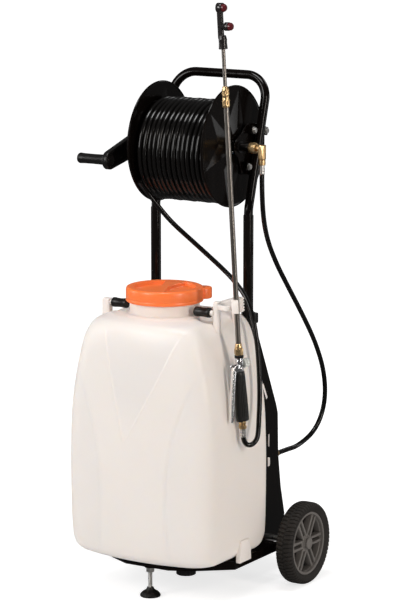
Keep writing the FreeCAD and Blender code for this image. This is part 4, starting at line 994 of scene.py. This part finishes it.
# The gun's frame seen from its side, whose Z runs across it, and the knob's frame
GUN_SIDE = GUN @ Matrix(((0, 0, 1, 0), (1, 0, 0, 0), (0, 1, 0, 0), (0, 0, 0, 1)))
KNOB_PLACE = GUN @ Matrix.Translation((0, 0, KNOB_AT)) @ Matrix.Rotation(-math.pi / 2, 4, "X")


def make_gun_grip():
    """An oval grip, fluted round its back and sides, with rounded ends."""
    length = VALVE_AT - GRIP_AT
    stations = [0.0, 0.35, 0.75, 1.0]
    shapes = mm([(-17.5, 20, 12.2), (-18, 18.5, 12), (-15.5, 15.5, 10.4), (-12.5, 13, 9.6)])
    angles = round_angles(220)
    rows = []
    for share in (0.0, 0.006, 0.02, 0.05, *np.linspace(0.09, 0.91, 22), 0.95, 0.98, 0.994, 1.0):
        front, back, half = (float(monotone(share, stations, values)) for values in zip(*shapes))
        end = min(share, 1 - share) * length
        inset = GRIP_END - math.sqrt(GRIP_END ** 2 - max(0.0, GRIP_END - end) ** 2)
        away = np.abs((angles - math.pi / 2 + math.pi) % (2 * math.pi) - math.pi)
        fluted = smooth_step((end - 0.008) / 0.004) * smooth_step((math.radians(142) - away) / 0.12)
        inset = inset + FLUTE_DEPTH * fluted * (0.5 + 0.5 * np.cos(angles * FLUTES)) ** 3
        x = (half - inset) * np.cos(angles)
        y = (front + back) / 2 + ((back - front) / 2 - inset) * np.sin(angles)
        rows.append(np.column_stack([x, y, np.full(len(angles), GRIP_AT + share * length)]))
    verts = [GUN @ Vector(p) for p in np.vstack(rows)]
    faces = closed_faces(len(rows), len(angles))
    add_piece("gun_grip_shell", verts, faces, GRIP_PLASTIC, "cart", ["gun_grip"], 50)


def make_gun_metal():
    """The valve body with its trigger ears and pin, the black ring, the outlet nut and the hose connector."""
    core = mm([(0, 160), (9, 160), (9.6, 161.5), (9.6, 170), (8.4, 172), (8.4, 174), (9.8, 176), (9.8, 187),
               (8.6, 189), (8.6, 193.5), (0, 193.5)])
    neck = mm([(0, 0), (6.8, 0), (6.8, 9.5), (4.9, 10.5), (4.9, 25.2), (0, 25.2)])
    ear = mm([(-4, 164), (-19, 164), (-25, 167), (-25, 175), (-21, 178), (-4, 178)])
    pin = mm([(0, -9), (3, -9), (3, -8.4), (1.95, -8.2), (1.95, 8.4), (0, 8.4)])
    pin_place = GUN_SIDE @ Matrix.Translation((-0.020, TRIGGER_AT, 0))
    parts = [lathe_part(core, GUN, 0.0007), lathe_part(neck, KNOB_PLACE, 0.0006),
             *[slab_mesh(ear, x, x + 0.0024, GUN_SIDE, 0.0007, 2) for x in (-0.0085, 0.0061)],
             lathe_part(pin, pin_place, 0.0003, 24)]
    add_parts("gun_valve_body", parts, CHROME, "cart", ["valve_body"], 40)
    black_ring = mm([(5, 193), (10.2, 193), (10.8, 194), (10.8, 199.2), (10.2, 200), (5, 200)])
    lathe("gun_black_ring", black_ring, GUN, BLACK_PLASTIC, "cart", soft=0.0004)
    nut = hex_nut(GUN, 0.019, 0.2002, 0.217, 0.0063)
    cone = lathe_part(mm([(6.3, 216), (9, 217), (9, 219.5), (7.4, 228), (6.3, 228)]), GUN, 0.0006)
    add_parts("lance_union_nut", [nut, cone], BRASS, "cart", ["lance_nut"], 30)
    connector = hex_nut(GUN, 0.017, 0.0202, 0.0300)
    collar = lathe_part(mm([(0, 29.5), (7.8, 29.5), (7.8, 31.5), (9, 32.5), (9, 40), (0, 40)]), GUN, 0.0005)
    add_parts("gun_hose_connector", [connector, collar], BRASS, "cart", ["gun_connector"], 30)


def make_trigger():
    """The long lever: a thick rounded blade whose tip flares forward."""
    outline = mm([(-15.5, 173.5), (-23.5, 173.5), (-26, 165), (-31.5, 130), (-34.5, 113), (-37.8, 85),
                  (-40.2, 62), (-42.4, 50), (-42.9, 44), (-40.8, 43.2), (-34.8, 44), (-33.5, 50), (-31, 62),
                  (-28, 85), (-24.5, 113), (-21.5, 130), (-15.5, 164)])
    blade = slab_mesh(outline, -0.0046, 0.0046, GUN_SIDE, 0.0016, 3)
    add_parts("trigger_lever_blade", [blade], LEVER, "trigger", ["trigger_lever"], 40)


def make_flow_knob():
    profile = mm([(5.05, 11.2), (9.5, 11.2), (11, 12.5), (11.5, 14), (11.5, 23.5), (10.8, 25.2), (9, 26.2),
                  (0.1, 26.4), (0.1, 25.7), (5.05, 25.7)])
    knob = ridged(profile, KNOB_PLACE, 12, 0.0012, 0.0120, 0.0250, 144)
    add_parts("flow_knob_body", [knob], KNOB, "flow_valve", ["flow_knob"], 40)


def make_collet():
    waist = mm([(6.25, 0), (7.2, 0), (8, 1), (8.5, 3), (8.5, 19.5), (8, 20.5), (7.6, 23), (7.6, 26),
                (8, 28), (8.5, 29), (8.5, 41.5), (7.8, 43), (6.2, 48.8), (4.57, 48.8), (4.57, 5.6),
                (6.25, 5.6)])
    place = HEAD @ Matrix.Translation((0, 0, COLLET_AT))

    def reach(angles, r, h):
        knurled = 0.0035 < h < 0.019 or 0.0295 < h < 0.041
        return r - (KNURL_DEPTH * (0.5 + 0.5 * np.cos(angles * 24)) if knurled and r > 0.008 else 0)

    rows = []
    for (r0, h0), (r1, h1) in zip(waist, waist[1:] + waist[:1]):
        steps = 6 if abs(h1 - h0) > 0.01 and r0 > 0.007 else 1
        rows += [(r0 + (r1 - r0) * i / steps, h0 + (h1 - h0) * i / steps) for i in range(steps)]
    add_parts("lance_collet_nut", [round_grid(rows, place, 96, reach)], BRASS, "collet", ["lance_collet"], 30)


# ---------------------------------------------------------------- foot, drain, bolts and trim

FOOT_Y = -0.163
STEM_PITCH = 0.0015


def make_foot():
    at = along((0, FOOT_Y, 0), Z_AXIS)
    nut = hex_nut(at, 0.019, 0.0612, 0.0729, 0.00505)
    add_parts("foot_hex_nut", [nut], ZINC, "cart", ["foot_lock_nut"], 30)
    angles = round_angles(40)
    rows = []
    for z in np.arange(0.0120, 0.0812, 0.00031):
        r = 0.00482 + 0.00015 * np.cos(z / STEM_PITCH * 2 * math.pi - angles)
        rows.append(ring(r, z, angles, (0, FOOT_Y)))
    faces = closed_faces(len(rows), len(angles))
    add_piece("foot_threaded_stem", np.vstack(rows), faces, ZINC, "foot", ["foot_stem"], 60)
    pad = mm([(0.1, 0), (21.5, 0), (24.2, 0.6), (25, 2), (25, 4.5), (24.3, 5.8), (21.2, 10), (17.5, 12.8),
              (13.2, 15.2), (10, 18), (8.8, 20), (8.4, 22.2), (7.6, 23), (0.1, 23)])
    ribbed = ridged(pad, at, 24, 0.0009, 0.0052, 0.0175, 192)
    add_parts("foot_ribbed_pad", [ribbed], BLACK_PLASTIC, "foot", ["foot_pad"], 40)


def make_drain_cap():
    cap = mm([(0.1, 60), (21.8, 60), (23.6, 61.2), (24, 63), (24, 78.5), (23.4, 79.8), (20.8, 80),
              (20.5, 79.5), (20.5, 66.7), (0.1, 66.7)])
    cup = ridged(cap, along(DRAIN_AT, Z_AXIS), 18, 0.0012, 0.0625, 0.0790, 180)
    add_parts("drain_cap_cup", [cup], BLACK_PLASTIC, "drain", ["drain_cap"], 40)


BRACKET_BOLTS = mm([(101, 1114), (77, 1028), (158, 1107), (133, 1016)])


def make_bolts():
    parts = []
    for y, z in BRACKET_BOLTS:
        for side in (-1, 1):
            place = along((0, y, z), X_AXIS * side)
            parts.append(hex_nut(place, 0.013, 0.1322, 0.1364, 0.0, 0.0009))
            parts.append(lathe_part(mm([(0, 115.8), (3.9, 115.8), (3.9, 131.1), (8.2, 131.1), (8.2, 132.3),
                                        (0, 132.3)]), place, 0.0003, 32))
    add_parts("bracket_bolts", parts, ZINC, "cart", ["frame_bolts"], 30)


def make_cheek_strips_and_latch():
    """Two white strips on the right cheek, and the small latch below them. The slanted strip is a painted
    highlight along the cheek's folded edge; the upright one is a thin white line.
    """
    # The slanted outline paints a highlight along the folded edge; the upright one draws a thin white line.
    strip_outlines = [mm([(112.5, 488.5), (118.5, 491.5), (139.5, 452), (133.5, 448.5)]),
             mm([(146.1, 326.5), (148.5, 326.5), (148.5, 357.5), (146.1, 357.5)])]
    parts = [slab_mesh(outline, 0.1472, 0.1498, SIDEWAYS, 0.0005, 2) for outline in strip_outlines]
    latch = mm([(140, 278), (146.5, 278), (148, 282), (148, 297), (145.5, 300), (140, 300)])
    parts.append(slab_mesh(latch, 0.1495, 0.1522, SIDEWAYS, 0.0006, 2))
    add_parts("cheek_white_strips_and_latch", parts, WHITE, "cart", [], 35)


def make_side_clips():
    """A moulded clip on each side wall, narrower towards its top."""
    parts = []
    for side in (-1, 1):
        plate = frame_at(Vector((0, 0, 0)), Y_AXIS * side, X_AXIS * side)
        outline = mm([(-88, 92.5), (-34, 92.5), (-36, 118), (-43, 146), (-82, 146)])
        outline = [(y * side, z) for y, z in outline]
        parts.append(slab_mesh(outline, 0.1945, 0.2078, plate, 0.0028, 3))
    add_parts("tank_side_clip_mouldings", parts, WHITE, "cart", ["tank_side_clips"], 40)


EDGED_NODES = {"nozzle_head": 0.0008, "cheek_plates": 0.0007, "rear_cover": 0.0009, "pump_cover": 0.0009,
               "base_pan": 0.0012, "reel_brackets": 0.0008, "bracket_clamps": 0.0012,
               "switch_rocker": 0.0006, "battery_shelf": 0.0006, "battery": 0.0020,
               "pump_head": 0.0020, "outlet_fitting": 0.0006}


def soften_node_edges():
    """Rounds the corners of the sheet and moulded parts that keep their CAD mesh."""
    for name, width in EDGED_NODES.items():
        node = NODES[name]
        weld = node.modifiers.new("weld", "WELD")
        weld.merge_threshold = 0.00001
        bevel = node.modifiers.new("soft_edges", "BEVEL")
        bevel.width = width
        bevel.segments = 2
        bevel.limit_method = "ANGLE"
        bevel.angle_limit = math.radians(40)
        bevel.use_clamp_overlap = True
        bevel.harden_normals = True


# ---------------------------------------------------------------- stage and light

def area_light(name, at, target, size, power, colour=(1, 1, 1)):
    data = bpy.data.lights.new(name, "AREA")
    data.shape = "RECTANGLE"
    data.size, data.size_y = size
    data.energy = power
    data.color = colour
    light = new_object(name, data)
    light.location = at
    light.rotation_mode = "QUATERNION"
    light.rotation_quaternion = (Vector(target) - Vector(at)).to_track_quat("-Z", "Y")


def make_stage():
    """A white floor that glows to the eye, a little less under the cart so that it keeps a contact shadow."""
    mesh = bpy.data.meshes.new("floor")
    corners = [(x, y, 0) for x, y in rectangle(-12, 12, -12, 12)]
    mesh.from_pydata(corners, [], [(0, 1, 2, 3)])
    floor = new_object("floor", mesh)
    material, tree, shader = new_material("floor_paint")
    set_inputs(shader, {"Base Color": (0.60, 0.60, 0.60, 1), "Roughness": 0.9, "Specular IOR Level": 0.1,
                        "Emission Color": (1, 1, 1, 1)})
    where = shader_node(tree, "TexCoord")
    distance = shader_node(tree, "VectorMath", operation="LENGTH")
    glow = shader_node(tree, "MapRange", {"From Min": 0.6, "From Max": 2.2, "To Min": 0.74, "To Max": 1.0})
    path = shader_node(tree, "LightPath")
    seen = shader_node(tree, "MapRange", {"To Min": FLOOR_BOUNCE})
    tree.links.new(where.outputs["Object"], distance.inputs[0])
    join(tree, distance, "Value", glow, "Value")
    join(tree, path, "Is Camera Ray", seen, "Value")
    join(tree, glow, "Result", seen, "To Max")
    join(tree, seen, "Result", shader, "Emission Strength")
    mesh.materials.append(material)
    floor.visible_glossy = False


def make_world():
    """White to the eye, and a dim grey as a light and in reflections."""
    world = bpy.data.worlds.new("studio")
    world.use_nodes = True
    bpy.context.scene.world = world
    tree = world.node_tree
    background = tree.nodes["Background"]
    path = shader_node(tree, "LightPath")
    strength = shader_node(tree, "MapRange", {"To Min": WORLD_LIGHT, "To Max": WORLD_SEEN})
    join(tree, path, "Is Camera Ray", strength, "Value")
    join(tree, strength, "Result", background, "Strength")
    background.inputs["Color"].default_value = (1, 1, 1, 1)


def make_lights():
    middle = (0, 0, 0.7)
    area_light("key", (-1.4, -3.6, 2.4), middle, (1.3, 2.2), 98, (1.0, 0.98, 0.965))
    area_light("right_strip", (3.4, -0.9, 1.5), middle, (0.35, 2.4), 50, (1.0, 0.925, 0.86))
    area_light("left_fill", (-3.2, -1.2, 1.4), middle, (0.8, 2.0), 20)
    area_light("top", (0.1, -0.6, 3.6), middle, (1.6, 0.7), 46)
    area_light("back", (0.8, 3.2, 3.0), middle, (1.2, 1.2), 15)
    area_light("reel_strip", (2.6, 2.2, 0.9), middle, (0.5, 2.0), 9)


# ---------------------------------------------------------------- everything

def make_hoses():
    feed = hose_curve("feed_hose_line", FEED_ROUTE, HOSE)
    spray = hose_curve("spray_hose_line", SPRAY_ROUTE, HOSE)
    coil_line = coil_points()
    coil = hose_curve("wound_hose", coil_line, HOSE, 3)
    for hose, body, node in ((feed, "cart", "feed_hose"), (spray, "cart", "spray_hose"),
                             (coil, "reel", "hose_coil")):
        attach(hose, body)
        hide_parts(node)
    return feed, spray, coil, coil_line


make_camera()
hoses = make_hoses()
dress_nodes()
make_tank()
make_cap()
star_turn = math.radians(20)
make_flange("flange_right_disc", 0.099, 1, star_turn, "reel", "flange_right")
make_flange("flange_left_disc", -0.1045, -1, star_turn, "reel", "flange_left")
make_rail()
make_lifting_grips()
make_lance_clip()
make_crank()
make_swivel()
make_collars()
for side, centre, outward in (("left", WHEEL_LEFT, -1), ("right", WHEEL_RIGHT, 1)):
    make_tyre(f"block_tyre_{side}", centre, f"tyre_{side}", f"wheel_{side}")
    make_rim(f"spoked_rim_{side}", centre, outward, f"rim_{side}", f"wheel_{side}")
make_axle_caps()
make_gun_grip()
make_gun_metal()
make_trigger()
make_flow_knob()
make_collet()
make_foot()
make_drain_cap()
make_bolts()
make_cheek_strips_and_latch()
make_side_clips()
soften_node_edges()
make_stage()
make_world()
make_lights()
bpy.context.scene.view_settings.view_transform = "Standard"
